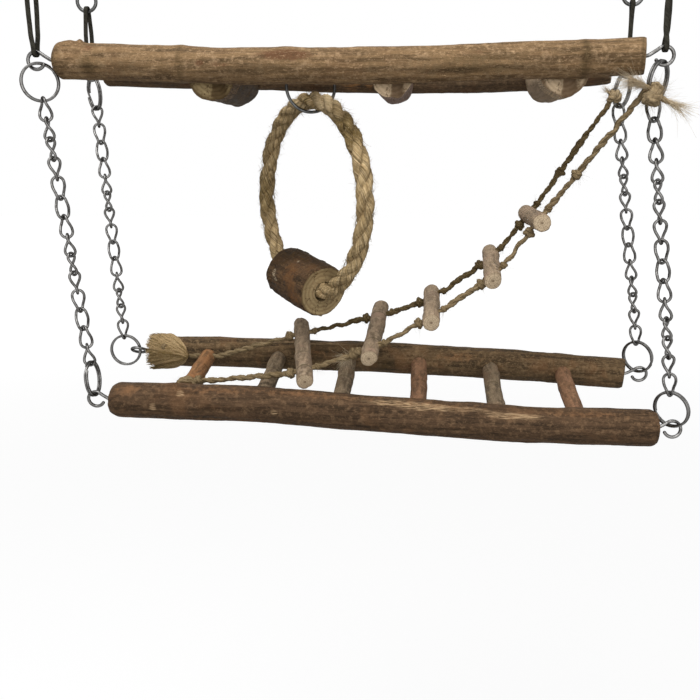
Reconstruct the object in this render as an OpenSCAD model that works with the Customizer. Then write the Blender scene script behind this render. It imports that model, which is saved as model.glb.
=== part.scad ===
// Two-level hanging bridge for small pets. Two upper logs and a deck of two logs hang one below
// the other on chains, with a rope ring swing and a twine ladder between the two levels.
// Millimetres, +Z up, +X to the right and +Y to the back.
// The origin is the middle of the four hook seats that rest on the bars of a cage roof.

/* [Logs] */
// Length of each of the four branch logs
log_len = 290; // [250:5:330]
// Distance between the axes of the two upper logs
log_gap = 75; // [66:1:90]
// Mean radius of the upper front log
upper_front_r = 8.7; // [7.5:0.1:9.5]
// Mean radius of the upper back log
upper_back_r = 7.8; // [7.5:0.1:9.5]
// Mean radius of the front log of the deck
deck_front_r = 9.6; // [8:0.1:10.5]
// Mean radius of the back log of the deck
deck_back_r = 9.2; // [8:0.1:10.5]
// Sag of the upper front log in its middle
upper_front_sag = 3.4; // [0:0.2:5]
// Sag of the upper back log in its middle
upper_back_sag = 4.2; // [0:0.2:6]
// Height of the S-shaped bend in the upper back log
upper_back_wave = 1.4; // [0:0.2:3]
// Height of the S-shaped bend in the front log of the deck
deck_front_wave = 1.8; // [0:0.2:3]
// Rise of the back log of the deck in its middle
deck_back_rise = 2.6; // [0:0.2:4]

/* [Cross pieces] */
// Radius of the left step of the upper level
left_step_r = 12.2; // [9:0.1:14]
// Radius of the middle step of the upper level
middle_step_r = 9.8; // [8:0.1:14]
// Radius of the right step of the upper level
right_step_r = 11.4; // [9:0.1:14]
// How far the steps hang below the middle of the logs
step_drop = 4.8; // [3:0.2:7]
// Diameter of the nails that hold the steps
nail_d = 2; // [1.4:0.1:2.6]
// Depth of the nails in the steps
nail_depth = 14; // [8:1:20]
// Radius of the dowel that carries the swing
dowel_r = 4.6; // [4:0.1:5.5]
// Radius of the rungs of the deck
rung_r = 4.7; // [4:0.1:5.5]
// Distance between the rungs of the deck
rung_step = 43; // [36:1:46]
// Depth of a rung in the log that holds it
rung_depth = 7; // [4:0.5:7.5]

/* [Hardware] */
// Outer diameter of the screw eyes
eye_od = 10.4; // [9.6:0.2:12]
// Wire of the screw eyes
eye_wire = 1.8; // [1.6:0.1:2]
// Distance from a log's end to the middle of its screw eye
eye_reach = 9; // [8:0.5:12]
// Length of a screw eye's shank in the log
eye_shank = 14; // [8:1:20]
// Outer diameter of the split rings
ring_od = 19.8; // [18:0.2:22]
// Thickness of a split ring across its band
ring_band = 1.4; // [1.2:0.1:1.8]
// Width of a split ring along its axis
ring_width = 2.2; // [1.8:0.1:2.4]
// Wire of the chain links
link_wire = 1.5; // [1.3:0.1:1.7]
// Inner length of a chain link
link_in = 10.2; // [9:0.1:12]
// Inner width of a chain link
link_gap = 4.6; // [4.2:0.1:5.5]
// Turn of the chain from one link to the next, where each link is twisted to let the next one lie flat
link_turn = 24; // [16:1:40]
// Wire of the cage hooks
hook_wire = 2; // [1.6:0.1:2.4]
// Inner radius of the hook that takes a cage bar
hook_in_r = 5; // [4:0.5:7]
// Outer diameter of the closed eye of a cage hook
hook_eye_od = 13; // [11:0.5:15]
// Diameter of the hanger cord
cord_d = 2.2; // [1.8:0.1:2.4]
// Inner length of a hanger cord loop
loop_in = 32; // [26:1:44]

/* [Swing] */
// Outer diameter of the steel ring of the swing
swing_ring_od = 28; // [26:0.5:34]
// Wire of the steel ring of the swing
swing_ring_wire = 1.7; // [1.4:0.1:2.2]
// Radius of the rope ring, to the middle of the rope
hoop_r = 52; // [44:1:54]
// Diameter of the rope
rope_d = 10; // [7:0.5:10.5]
// Length of the wooden barrel on the rope ring
barrel_len = 40; // [28:1:44]
// Radius of the wooden barrel
barrel_r = 15; // [11:0.5:16]
// Lean of the rope ring in its own plane, which lets the barrel slide to the back
hoop_lean = 10; // [0:1:14]
// Clearance of the rope in the barrel
barrel_play = 0.6; // [0.4:0.1:0.8]

/* [Ladder] */
// Diameter of the ladder's twine
twine_d = 3; // [2.4:0.2:3.4]
// Diameter of the knots in the twine
knot_d = 5.6; // [4.6:0.2:6]
// Radius of the ladder's rungs
twig_r = 4.6; // [4:0.1:5.2]
// Length of the ladder's rungs
twig_len = 70; // [60:1:76]
// Distance between the two twine holes of a rung
twig_holes = 44; // [36:1:52]

/* [Fit] */
// Clearance between pieces that move on each other
play = 0.3; // [0.2:0.05:0.4]
// Clearance of a piece in its socket
socket_play = 0.05; // [0.02:0.01:0.1]

/* [Hidden] */
$fn = 48;
corners = ["front_left", "front_right", "back_left", "back_right"];
side = [-1, 1, -1, 1];
row = [-1, -1, 1, 1];
// Chain links at each corner, with one chain a link longer and the back left one slack
links = [14, 15, 14, 14];
slack = 2;
// Lean of each upper ring, where the ladder pulls the right-hand ones to the left
ring_lean = [6, -11, 6, -11];
// Turn of each ring about its hanging line
upper_turn = [38, 52, -50, 54];
lower_turn = [90, -42, 0, -42];
// Roll of each lower screw eye about its shank
lower_roll = [0, -15, 50, 0];
// The ladder's pull holds the deck this far to the right
deck_shift = 19;
step_x = [-66, 24.5, 108.5];
step_r = [left_step_r, middle_step_r, right_step_r];
step_names = ["left", "middle", "right"];
dowel_x = -20;
rung_count = 6;
first_rung_x = -(rung_count - 1) * rung_step / 2;
// Ladder rungs: part of the way from the deck to the upper rings, sag below the straight line
// between those, and how much higher and further right the back end of the rung is
twig_at = [0.298, 0.467, 0.595, 0.727, 0.815];
twig_sag = [36, 49, 53.5, 50, 37];
twig_tilt = [19, 16, 5, 7, 0];
twig_skew = [-11, 3.5, 1, 3.5, 0];
twig_count = 5;
hoop_yaw = -52;
steel_yaw = 18;

// Log outline: stations along the log from -1 to 1, with rounded ends
log_sides = 20;
log_spans = 24;
round_from = 0.95;
round_last = 0.985;
round_by = 0.22;
log_middle = [for (j = [0:log_spans]) round_from * (2 * j / log_spans - 1)];
log_stations = concat([-1, -round_last], log_middle, [round_last, 1]);
function end_part(u) = max(0, (abs(u) - round_from) / (1 - round_from));
function end_shape(u) = 1 - round_by * pow(end_part(u), 2);
// Bumps round each log and along it as a part of its radius, with the angle they start from
bump_round = 0.02;
bump_along = 0.018;
bump_twist = 210;
bump_waves = 560;
upper_front_bumps = 20;
upper_back_bumps = 75;
deck_front_bumps = 140;
deck_back_bumps = 200;
function gnarl(u, a, seed) = bump_round * sin(3 * a + bump_twist * u + seed)
    + bump_along * sin(bump_waves * u + a + 2 * seed);
gnarl_max = 1 + bump_round + bump_along;
function log_bend(u, sag, wave) = -sag * (1 - u * u) - wave * sin(180 * u);
function log_skin(r, sag, wave, seed) = [
    for (u = log_stations, k = [0:log_sides - 1])
        let (a = 360 * k / log_sides, skin = r * end_shape(u) * (1 + gnarl(u, a, seed)))
        [u * log_len / 2, skin * cos(a), log_bend(u, sag, wave) + skin * sin(a)]
];

// Height of each log's axis at a place along it
function at_log(x, sag, wave) = log_bend(2 * x / log_len, sag, wave);
function upper_front_z(x) = at_log(x, upper_front_sag, 0);
function upper_back_z(x) = at_log(x, upper_back_sag, upper_back_wave);
function deck_front_z(x) = at_log(x, 0, deck_front_wave);
function deck_back_z(x) = at_log(x, -deck_back_rise, 0);

// Hanging heights, from the hook seats down
hook_mid_r = hook_in_r + hook_wire / 2;
hook_eye_mid_r = (hook_eye_od - hook_wire) / 2;
hook_eye_z = -2 * hook_in_r - hook_wire - hook_eye_mid_r;
loop_top_z = hook_eye_z - hook_eye_mid_r + hook_wire / 2 + play + cord_d / 2;
loop_span = loop_in + cord_d;
loop_mid_r = (hook_wire + cord_d) / 2 + play;
loop_bottom_z = loop_top_z - loop_span;
eye_mid_r = (eye_od - eye_wire) / 2;
eye_in_r = eye_od / 2 - eye_wire;
frame_z = loop_bottom_z + cord_d / 2 + play - eye_in_r;

// Legs: a ring in the upper eye, the chain, and a ring in the lower eye
eye_x = log_len / 2 + eye_reach;
ring_mid_r = (ring_od - ring_band) / 2;
// A ring hangs at the bottom of its eye, but one that is nearly flush with the eye's face catches on
// the eye's two sides, nearer its middle
flush_turn = 45;
square_hang = eye_in_r - ring_band / 2 - play;
side_reach = (eye_wire + ring_width) / 2 + 1.5 * play;
function side_hang(turn) = cos(turn)
    * sqrt(max(0, eye_mid_r * eye_mid_r - pow(side_reach / sin(turn), 2)));
function eye_hang(turn) = abs(turn) > flush_turn ? square_hang : side_hang(turn);
link_mid_r = (link_gap + link_wire) / 2;
link_span = link_in + link_wire;
link_pitch = link_in - play;
link_twist = 90 - link_turn;
link_bend_d = link_wire + 0.1;
link_to_ring = (link_wire + ring_band) / 2 + play;
function lean_dir(a) = [sin(a), 0, -cos(a)];
function chain_span(i) = (links[i] - 1) * link_pitch + link_span;
function upper_eye(i) = [side[i] * eye_x, row[i] * log_gap / 2, frame_z];
function upper_ring_mid(i) = upper_eye(i)
    + (eye_hang(upper_turn[i]) + ring_mid_r) * lean_dir(ring_lean[i]);
function chain_top(i) = upper_ring_mid(i) + ring_mid_r * lean_dir(ring_lean[i]);
// From the top of the chain to the lower ring's middle, and on to the lower eye
function chain_reach(i) = chain_span(i) - 2 * link_to_ring + ring_mid_r;
function leg_reach(i) = chain_reach(i) + ring_mid_r
    + (i == slack ? square_hang : eye_hang(lower_turn[i]));
function leg_lean(i) = asin((side[i] * eye_x + deck_shift - chain_top(i).x) / leg_reach(i));
function leg_z(i) = chain_top(i).z - leg_reach(i) * cos(leg_lean(i));

// Deck: three legs carry it, and the fourth hangs slack
deck_z = (leg_z(0) + leg_z(3)) / 2;
deck_roll = atan((leg_z(0) - leg_z(1)) / (2 * eye_x));
deck_tilt = atan((leg_z(3) - leg_z(1)) / log_gap);
deck_gap = log_gap / cos(deck_tilt);
deck_eye_x = eye_x / cos(deck_roll);
function tilted(p) = [
    p.x,
    p.y * cos(deck_tilt) - p.z * sin(deck_tilt),
    p.y * sin(deck_tilt) + p.z * cos(deck_tilt)
];
function rolled(p) = [
    p.x * cos(deck_roll) + p.z * sin(deck_roll),
    p.y,
    p.z * cos(deck_roll) - p.x * sin(deck_roll)
];
function deck_point(p) = [deck_shift, 0, deck_z] + rolled(tilted(p));
function lower_eye(i) = deck_point([side[i] * deck_eye_x, row[i] * deck_gap / 2, 0]);
// The slack chain ends in a ring that lies beside its eye
function ring_beside(i) = lower_eye(i).x - ring_mid_r + eye_wire / 2;
function slack_lean(i) = asin((ring_beside(i) - chain_top(i).x) / chain_reach(i));
function chain_lean(i) = i == slack ? slack_lean(i) : leg_lean(i);
function lower_ring_mid(i) = chain_top(i) + chain_reach(i) * lean_dir(chain_lean(i));
// Turn from link to link that ends with the last link square to the lower ring
function chain_turns(i) = let (all = lower_turn[i] - upper_turn[i] - link_twist, n = links[i] - 1)
    (all - 180 * round((link_turn * n + all) / 180)) / n;

// Cross pieces: a rung from log to log, with its ends in the logs' sockets
function rung_x(k) = first_rung_x + k * rung_step;
rung_front_y = -deck_gap / 2 + deck_front_r - rung_depth;
rung_back_y = deck_gap / 2 - deck_back_r + rung_depth;
function rung_front(k) = [rung_x(k), rung_front_y, deck_front_z(rung_x(k))];
function rung_back(k) = [rung_x(k), rung_back_y, deck_back_z(rung_x(k))];
dowel_front_y = -log_gap / 2 + upper_front_r - rung_depth;
dowel_back_y = log_gap / 2 - upper_back_r + rung_depth;
dowel_front = [dowel_x, dowel_front_y, upper_front_z(dowel_x)];
dowel_back = [dowel_x, dowel_back_y, upper_back_z(dowel_x)];
dowel_mid_z = (dowel_front.z + dowel_back.z) / 2;
function step_z(k) = (upper_front_z(step_x[k]) + upper_back_z(step_x[k])) / 2 - step_drop;
step_front_y = -log_gap / 2 + upper_front_r * gnarl_max + socket_play;
step_back_y = log_gap / 2 - upper_back_r * gnarl_max - socket_play;
// Nail heads lie this deep in the logs, and the nails this high above the middle of the steps
nail_inset = 1;
nail_lift = 2.5;
nail_front_y = -log_gap / 2 - upper_front_r + nail_inset;
nail_back_y = log_gap / 2 + upper_back_r - nail_inset;

// Screw eye: where its loop starts, how far round it goes, and where its neck meets the shank
eye_from = 42;
eye_sweep = 290;
eye_neck = eye_reach - 1.2;
eye_bend_d = eye_wire + 0.1;
// The bores for the shanks start outside the log's end and are a little deeper than the shanks
bore_out = 1;
bore_spare = 0.5;
hook_sweep = 290;
ring_edge = 0.45;

// Swing, from the dowel down
swing_ring_mid_r = (swing_ring_od - swing_ring_wire) / 2;
swing_ring_z = frame_z + dowel_mid_z + dowel_r + play - swing_ring_od / 2 + swing_ring_wire;
hoop_top_z = swing_ring_z - swing_ring_od / 2 + swing_ring_wire + play + rope_d / 2;
hoop_z = hoop_top_z - hoop_r;
barrel_out = 1;
// The rope is a little thicker where it bends into the barrel
bend_d = rope_d + 0.2;
barrel_mouth = barrel_len / 2 + barrel_out;
barrel_drop = sqrt(hoop_r * hoop_r - barrel_mouth * barrel_mouth);
hoop_open = asin(barrel_mouth / hoop_r);

// Ladder: top ties on the two right-hand upper rings, lower ties on the deck
tie_d = 7.6;
tie_place = -62;
function ring_across(i) = [
    cos(upper_turn[i]) * cos(ring_lean[i]),
    sin(upper_turn[i]),
    cos(upper_turn[i]) * sin(ring_lean[i])
];
function ring_point(i, a) = upper_ring_mid(i)
    + ring_mid_r * (cos(a) * lean_dir(ring_lean[i]) + sin(a) * ring_across(i));
function top_tie(s) = ring_point(s < 0 ? 1 : 3, tie_place);
// Two turns of twine round the first rung at the front, and round the log's end at the back
wrap_pitch = 0.98 * twine_d;
front_wrap_off = 2.4 * twine_d;
front_wrap_y = -deck_gap / 2 + deck_front_r + front_wrap_off;
front_wrap_r = rung_r + twine_d / 2 + play;
front_knot_turn = 50;
back_wrap_in = 10;
back_wrap_x = -log_len / 2 + back_wrap_in;
back_wrap_r = deck_back_r * gnarl_max + twine_d / 2 + play;
back_knot_turn = 55;
front_wrap_at = (front_wrap_y - rung_front_y) / (rung_back_y - rung_front_y);
front_wrap = rung_front(0) + front_wrap_at * (rung_back(0) - rung_front(0));
back_wrap = [back_wrap_x, deck_gap / 2, deck_back_z(back_wrap_x)];
knot_up = (knot_d - twine_d) / 2 + 0.1;
front_knot = front_wrap + (front_wrap_r + knot_up) * [sin(front_knot_turn), 0, cos(front_knot_turn)];
back_knot = back_wrap + (back_wrap_r + knot_up) * [0, -sin(back_knot_turn), cos(back_knot_turn)];
function deck_knot(s) = deck_point(s < 0 ? front_knot : back_knot);
ladder_foot = (deck_knot(-1) + deck_knot(1)) / 2;
ladder_head = (top_tie(-1) + top_tie(1)) / 2;
function unit(v) = v / norm(v);
function twig_line(k) = ladder_foot + twig_at[k] * (ladder_head - ladder_foot);
function twig_mid(k) = [twig_line(k).x, 0, twig_line(k).z - twig_sag[k]];
function twig_along(k) = unit([twig_skew[k], twig_len, twig_tilt[k]]);
function twig_end(k, s) = twig_mid(k) + s * twig_len / 2 * twig_along(k);
function hole(k, s) = twig_mid(k) + s * twig_holes / 2 * twig_along(k);
function stop(k, s) = k < 0 ? deck_knot(s) : k >= twig_count ? top_tie(s) : hole(k, s);
// The twine crosses a rung along the mean of the two stretches that meet there
function run(k, s) = unit(unit(stop(k + 1, s) - stop(k, s)) + unit(stop(k, s) - stop(k - 1, s)));
function twine_dir(k, s) = let (a = twig_along(k), v = run(k, s)) unit(v - (v * a) * a);
knot_off = twig_r + knot_d / 2 + play;
knot_turn = 60;
function knot_above(k, s) = hole(k, s) + knot_off * twine_dir(k, s);
function knot_below(k, s) = hole(k, s) - knot_off * twine_dir(k, s);
// The ladder bends at its top and middle rungs, which the stretch above carries.
// Its lowest rung lies on the deck, with the twine that ties it down.
top_twig = 4;
middle_twig = 2;
// The twine stops short of the knots that it bends at, and further short where it shifts
twine_break = knot_d / 2 + play;
bend_break = twine_break + 0.4;
top_break = tie_d / 2 + play + 0.6;
foot_break = twine_break + 1.6;

// Shapes that repeat
module rod(p, q, r) {
    d = q - p;
    translate(p) rotate([0, acos(d.z / norm(d)), atan2(d.y, d.x)]) cylinder(r = r, h = norm(d));
}

module wire_arc(mid_r, wire, from, sweep) {
    rotate([90, 0, 0]) rotate([0, 0, from]) rotate_extrude(angle = sweep)
        translate([mid_r, 0]) circle(d = wire);
}

module wire_ring(mid_r, wire) {
    rotate([90, 0, 0]) rotate_extrude() translate([mid_r, 0]) circle(d = wire);
}

// Closed oval of wire that hangs down from its top end, with its end wires span apart
module oval(span, mid_r, wire) {
    translate([0, 0, -mid_r]) wire_arc(mid_r, wire, 0, 180);
    translate([0, 0, mid_r - span]) wire_arc(mid_r, wire, 180, 180);
    for (s = [-1, 1]) translate([s * mid_r, 0, mid_r - span])
        cylinder(d = wire, h = span - 2 * mid_r);
}

// Chain link that hangs down from its top end, with its two ends turned against each other
module link() {
    low = link_mid_r - link_span;
    translate([0, 0, -link_mid_r]) rotate([0, 0, -link_twist / 2])
        wire_arc(link_mid_r, link_wire, 0, 180);
    translate([0, 0, low]) rotate([0, 0, link_twist / 2]) wire_arc(link_mid_r, link_wire, 180, 180);
    for (s = [-1, 1]) {
        across = s * link_mid_r * cos(link_twist / 2);
        along = s * link_mid_r * sin(link_twist / 2);
        rod([across, -along, -link_mid_r], [across, along, low], link_wire / 2);
        translate([across, -along, -link_mid_r]) sphere(d = link_bend_d);
        translate([across, along, low]) sphere(d = link_bend_d);
    }
}

module log_body(r, sag, wave, seed) {
    points = log_skin(r, sag, wave, seed);
    n = log_sides;
    m = len(log_stations);
    last = (m - 1) * n;
    ends = [for (u = [-1, 1]) [u * log_len / 2, 0, log_bend(u, sag, wave)]];
    skin = [for (j = [0:m - 2], k = [0:n - 1]) let (a = j * n + k, b = j * n + (k + 1) % n)
        each [[a, b + n, b], [a, a + n, b + n]]];
    left_end = [for (k = [0:n - 1]) [m * n, k, (k + 1) % n]];
    right_end = [for (k = [0:n - 1]) [m * n + 1, last + (k + 1) % n, last + k]];
    polyhedron(concat(points, ends), concat(skin, left_end, right_end), convexity = 4);
}

module shank_bores() {
    for (s = [-1, 1]) translate([s * log_len / 2, 0, 0]) rotate([0, -s * 90, 0])
        translate([0, 0, -bore_out])
            cylinder(d = eye_wire + 2 * socket_play, h = bore_out + eye_shank + bore_spare);
}

// Screw eye with its middle at the origin and its shank along +X
module screw_eye() {
    neck = [eye_mid_r * cos(eye_from), 0, eye_mid_r * sin(eye_from)];
    bend = [eye_neck, 0, 0];
    wire_arc(eye_mid_r, eye_wire, eye_from, eye_sweep);
    translate(neck) sphere(d = eye_bend_d);
    rod(neck, bend, eye_wire / 2);
    translate(bend) sphere(d = eye_bend_d);
    rod(bend, [eye_reach + eye_shank, 0, 0], eye_wire / 2);
}

module split_ring(grow = 0) {
    w = ring_width / 2 + grow;
    b = ring_band / 2 + grow;
    outline = [
        [-b, ring_edge - w], [ring_edge - b, -w], [b - ring_edge, -w], [b, ring_edge - w],
        [b, w - ring_edge], [b - ring_edge, w], [ring_edge - b, w], [-b, w - ring_edge]
    ];
    rotate([90, 0, 0]) rotate_extrude() translate([ring_mid_r, 0]) polygon(outline);
}

module place_upper_ring(i) {
    translate(upper_ring_mid(i)) rotate([0, -ring_lean[i], 0]) rotate([0, 0, upper_turn[i]])
        children();
}

module on_deck() {
    translate([deck_shift, 0, deck_z]) rotate([deck_tilt, deck_roll, 0]) children();
}

// Hooks and hanger loops
module hook(i) {
    color("dimgray") translate([side[i] * eye_x, row[i] * log_gap / 2, 0]) {
        translate([0, 0, -hook_in_r]) wire_arc(hook_mid_r, hook_wire, -90, hook_sweep);
        translate([0, 0, -hook_in_r - hook_mid_r]) sphere(d = hook_wire);
        translate([0, 0, hook_eye_z]) wire_ring(hook_eye_mid_r, hook_wire);
    }
}

module hanger_loop(i) {
    color([0.16, 0.14, 0.12]) translate([side[i] * eye_x, row[i] * log_gap / 2, loop_top_z])
        rotate([0, 0, 90]) oval(loop_span, loop_mid_r, cord_d);
}

// Upper level
module step_nail_bores(grow) {
    for (k = [0:2]) {
        x = step_x[k];
        z = step_z(k) + nail_lift;
        rod([x, nail_front_y, z], [x, step_front_y + nail_depth, z], nail_d / 2 + grow);
        rod([x, nail_back_y, z], [x, step_back_y - nail_depth, z], nail_d / 2 + grow);
    }
}

module upper_log(y, r, sag, wave, seed) {
    color("peru") translate([0, 0, frame_z]) difference() {
        translate([0, y, 0]) log_body(r, sag, wave, seed);
        rod(dowel_front, dowel_back, dowel_r + socket_play);
        step_nail_bores(socket_play);
        translate([0, y, 0]) shank_bores();
    }
}

module upper_front_log() {
    upper_log(-log_gap / 2, upper_front_r, upper_front_sag, 0, upper_front_bumps);
}

module upper_back_log() {
    upper_log(log_gap / 2, upper_back_r, upper_back_sag, upper_back_wave, upper_back_bumps);
}

module step(k) {
    color("burlywood") translate([0, 0, frame_z]) difference() {
        translate([step_x[k], 0, step_z(k)]) rod([0, step_front_y, 0], [0, step_back_y, 0], step_r[k]);
        step_nail_bores(socket_play);
    }
}

module step_nails() {
    color("gray") translate([0, 0, frame_z]) step_nail_bores(0);
}

module swing_dowel() {
    color("peru") translate([0, 0, frame_z]) rod(dowel_front, dowel_back, dowel_r);
}

module upper_screw_eyes() {
    color("silver") for (i = [0:3])
        translate(upper_eye(i)) mirror([side[i] > 0 ? 1 : 0, 0, 0]) screw_eye();
}

// Legs
module upper_ring(i) {
    color("silver") place_upper_ring(i) split_ring();
}

module chain(i) {
    color("silver") translate(chain_top(i)) rotate([0, -chain_lean(i), 0])
        for (j = [0:links[i] - 1]) translate([0, 0, link_to_ring - j * link_pitch])
            rotate([0, 0, upper_turn[i] + 90 + link_twist / 2 + j * chain_turns(i)]) link();
}

module lower_ring(i) {
    color("silver") translate(lower_ring_mid(i)) rotate([0, -chain_lean(i), 0])
        rotate([0, 0, lower_turn[i]]) split_ring();
}

// Deck
module deck_sockets() {
    for (k = [0:rung_count - 1]) rod(rung_front(k), rung_back(k), rung_r + socket_play);
}

module deck_log(y, r, sag, wave, seed) {
    color("saddlebrown") on_deck() difference() {
        translate([0, y, 0]) log_body(r, sag, wave, seed);
        deck_sockets();
        translate([0, y, 0]) shank_bores();
    }
}

module deck_front_log() {
    deck_log(-deck_gap / 2, deck_front_r, 0, deck_front_wave, deck_front_bumps);
}

module deck_back_log() {
    deck_log(deck_gap / 2, deck_back_r, -deck_back_rise, 0, deck_back_bumps);
}

module deck_rung(k) {
    color("rosybrown") on_deck() rod(rung_front(k), rung_back(k), rung_r);
}

module deck_screw_eyes() {
    color("silver") on_deck() for (i = [0:3])
        translate([side[i] * deck_eye_x, row[i] * deck_gap / 2, 0])
            mirror([side[i] > 0 ? 1 : 0, 0, 0]) rotate([lower_roll[i], 0, 0]) screw_eye();
}

// Swing
module swing_steel_ring() {
    color("dimgray") translate([dowel_x, 0, swing_ring_z]) rotate([0, 0, steel_yaw])
        wire_ring(swing_ring_mid_r, swing_ring_wire);
}

module on_hoop() {
    translate([dowel_x, 0, hoop_z]) rotate([0, 0, hoop_yaw]) rotate([0, hoop_lean, 0]) children();
}

module swing_rope() {
    color("tan") on_hoop() {
        wire_arc(hoop_r, rope_d, hoop_open - 90, 360 - 2 * hoop_open);
        translate([0, 0, -barrel_drop]) {
            rod([-barrel_mouth, 0, 0], [barrel_mouth, 0, 0], rope_d / 2);
            for (s = [-1, 1]) translate([s * barrel_mouth, 0, 0]) sphere(d = bend_d);
        }
    }
}

module swing_barrel() {
    color("sienna") on_hoop() translate([0, 0, -barrel_drop]) difference() {
        rod([-barrel_len / 2, 0, 0], [barrel_len / 2, 0, 0], barrel_r);
        rod([-barrel_len, 0, 0], [barrel_len, 0, 0], rope_d / 2 + barrel_play);
    }
}

// Ladder
module ladder_rung(k) {
    color("rosybrown") difference() {
        rod(twig_end(k, -1), twig_end(k, 1), twig_r);
        for (s = [-1, 1]) rod(knot_below(k, s), knot_above(k, s), twine_d / 2 + play);
    }
}

// Knot with its poles along the rung, clear of the twine that runs into it
module knot(at) {
    translate(at) rotate([90, knot_turn, 0]) sphere(d = knot_d);
}

// Twine through rung k, with a knot on each side of it
module twine_at(k, s) {
    rod(knot_below(k, s), knot_above(k, s), twine_d / 2);
    knot(knot_below(k, s));
    knot(knot_above(k, s));
}

// Twine between two knots, cut short of either end
module twine_run(p, q, cut_p, cut_q) {
    rod(p + cut_p * unit(q - p), q - cut_q * unit(q - p), twine_d / 2);
}

module ladder_twine_top() {
    color("tan") for (s = [-1, 1]) {
        twine_run(knot_above(top_twig, s), top_tie(s), 0, top_break);
        twine_at(top_twig, s);
    }
}

module ladder_twine_upper() {
    color("tan") for (s = [-1, 1]) for (k = [middle_twig:top_twig - 1]) {
        to_cut = k + 1 == top_twig ? bend_break : 0;
        twine_run(knot_above(k, s), knot_below(k + 1, s), 0, to_cut);
        twine_at(k, s);
    }
}

module ladder_twine_lower() {
    color("tan") for (s = [-1, 1]) for (k = [0:middle_twig - 1]) {
        from_cut = k == 0 ? foot_break : 0;
        to_cut = k + 1 == middle_twig ? bend_break : 0;
        twine_run(knot_above(k, s), knot_below(k + 1, s), from_cut, to_cut);
        if (k > 0) twine_at(k, s);
    }
}

module ladder_twine_foot() {
    color("tan") for (s = [-1, 1]) {
        twine_run(deck_knot(s), knot_below(0, s), twine_break, 0);
        twine_at(0, s);
    }
}

module top_tie_on(i) {
    color("tan") difference() {
        translate(ring_point(i, tie_place)) sphere(d = tie_d);
        place_upper_ring(i) split_ring(play);
    }
}

module top_tie_front() { top_tie_on(1); }

module top_tie_back() { top_tie_on(3); }

module deck_tie_front() {
    color("tan") {
        on_deck() translate(front_wrap) for (s = [-1, 1]) translate([0, s * wrap_pitch / 2, 0])
            wire_ring(front_wrap_r, twine_d);
        translate(deck_knot(-1)) sphere(d = knot_d);
    }
}

module deck_tie_back() {
    color("tan") {
        on_deck() translate(back_wrap) for (s = [-1, 1]) translate([s * wrap_pitch / 2, 0, 0])
            rotate([0, 0, 90]) wire_ring(back_wrap_r, twine_d);
        translate(deck_knot(1)) sphere(d = knot_d);
    }
}

for (i = [0:3]) {
    hook(i);
    hanger_loop(i);
    upper_ring(i);
    chain(i);
    lower_ring(i);
}
upper_front_log();
upper_back_log();
for (k = [0:2]) step(k);
step_nails();
swing_dowel();
upper_screw_eyes();
deck_front_log();
deck_back_log();
for (k = [1:rung_count]) deck_rung(k - 1);
deck_screw_eyes();
swing_steel_ring();
swing_rope();
swing_barrel();
for (k = [1:twig_count]) ladder_rung(k - 1);
ladder_twine_top();
ladder_twine_upper();
ladder_twine_lower();
ladder_twine_foot();
top_tie_front();
top_tie_back();
deck_tie_front();
deck_tie_back();
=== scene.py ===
import bpy
import numpy as np
from mathutils import Matrix, Vector
from types import SimpleNamespace as Sizes


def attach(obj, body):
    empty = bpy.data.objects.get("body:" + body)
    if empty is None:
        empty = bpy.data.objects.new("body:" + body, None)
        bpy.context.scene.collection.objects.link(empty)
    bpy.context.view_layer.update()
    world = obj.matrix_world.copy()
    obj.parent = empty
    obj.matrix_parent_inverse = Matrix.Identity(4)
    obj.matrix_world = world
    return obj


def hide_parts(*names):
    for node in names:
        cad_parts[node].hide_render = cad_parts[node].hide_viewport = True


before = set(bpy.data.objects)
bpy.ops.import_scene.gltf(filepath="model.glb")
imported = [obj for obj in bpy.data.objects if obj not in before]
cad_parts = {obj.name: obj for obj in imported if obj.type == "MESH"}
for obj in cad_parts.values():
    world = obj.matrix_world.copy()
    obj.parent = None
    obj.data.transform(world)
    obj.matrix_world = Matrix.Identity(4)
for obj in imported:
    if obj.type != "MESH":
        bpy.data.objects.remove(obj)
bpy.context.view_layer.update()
print("frame loaded with", len(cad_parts), "nodes")

mm = 0.001                      # pieces are in millimetres; bump depths, stage and camera in metres
fullTurn = 2 * np.pi
xAxis, yAxis, zAxis = np.eye(3)


def unit(v):
    return v / np.linalg.norm(v, axis=-1, keepdims=True)


# unit vector along the part of v that is square to the unit vector along
def squareTo(v, along):
    return unit(v - np.sum(v * along, -1, keepdims=True) * along)


# count angles spread evenly over a full turn
def roundAngles(count):
    return np.arange(count) / count * fullTurn


def circle(a):
    return np.stack([np.cos(a), np.sin(a)], -1)


# circle in the plane of X and Z
def upright(a):
    return np.stack([np.cos(a), 0 * a, np.sin(a)], -1)


# grid of all pairs of two lists
def pairs(one, two):
    return np.stack(np.meshgrid(one, two, indexing="ij"), -1)


# places for a noise on a round surface
def roundPlaces(along, a, size):
    return np.stack(np.broadcast_arrays(along, size * np.cos(a), size * np.sin(a)), -1)


# bell over length and turn: exp(-(length off / wide)² - (turn off / spread)²)
def bell(far, a, at, turn, wide, spread):
    off = (a - np.radians(turn) + np.pi) % fullTurn - np.pi
    return np.exp(-((far - at) / wide) ** 2 - (off / np.radians(spread)) ** 2)


# turning matrix about axis 0, 1 or 2
def turnAbout(axis, degrees):
    c, s = np.cos(np.radians(degrees)), np.sin(np.radians(degrees))
    i, j = [(1, 2), (2, 0), (0, 1)][axis]
    m = np.eye(3)
    m[i, i] = m[j, j] = c
    m[i, j], m[j, i] = -s, s
    return m


# 0 below low, 1 above high, smooth between
def smoothStep(x, low, high):
    t = np.clip((x - low) / (high - low), 0, 1)
    return t * t * (3 - 2 * t)


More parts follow.
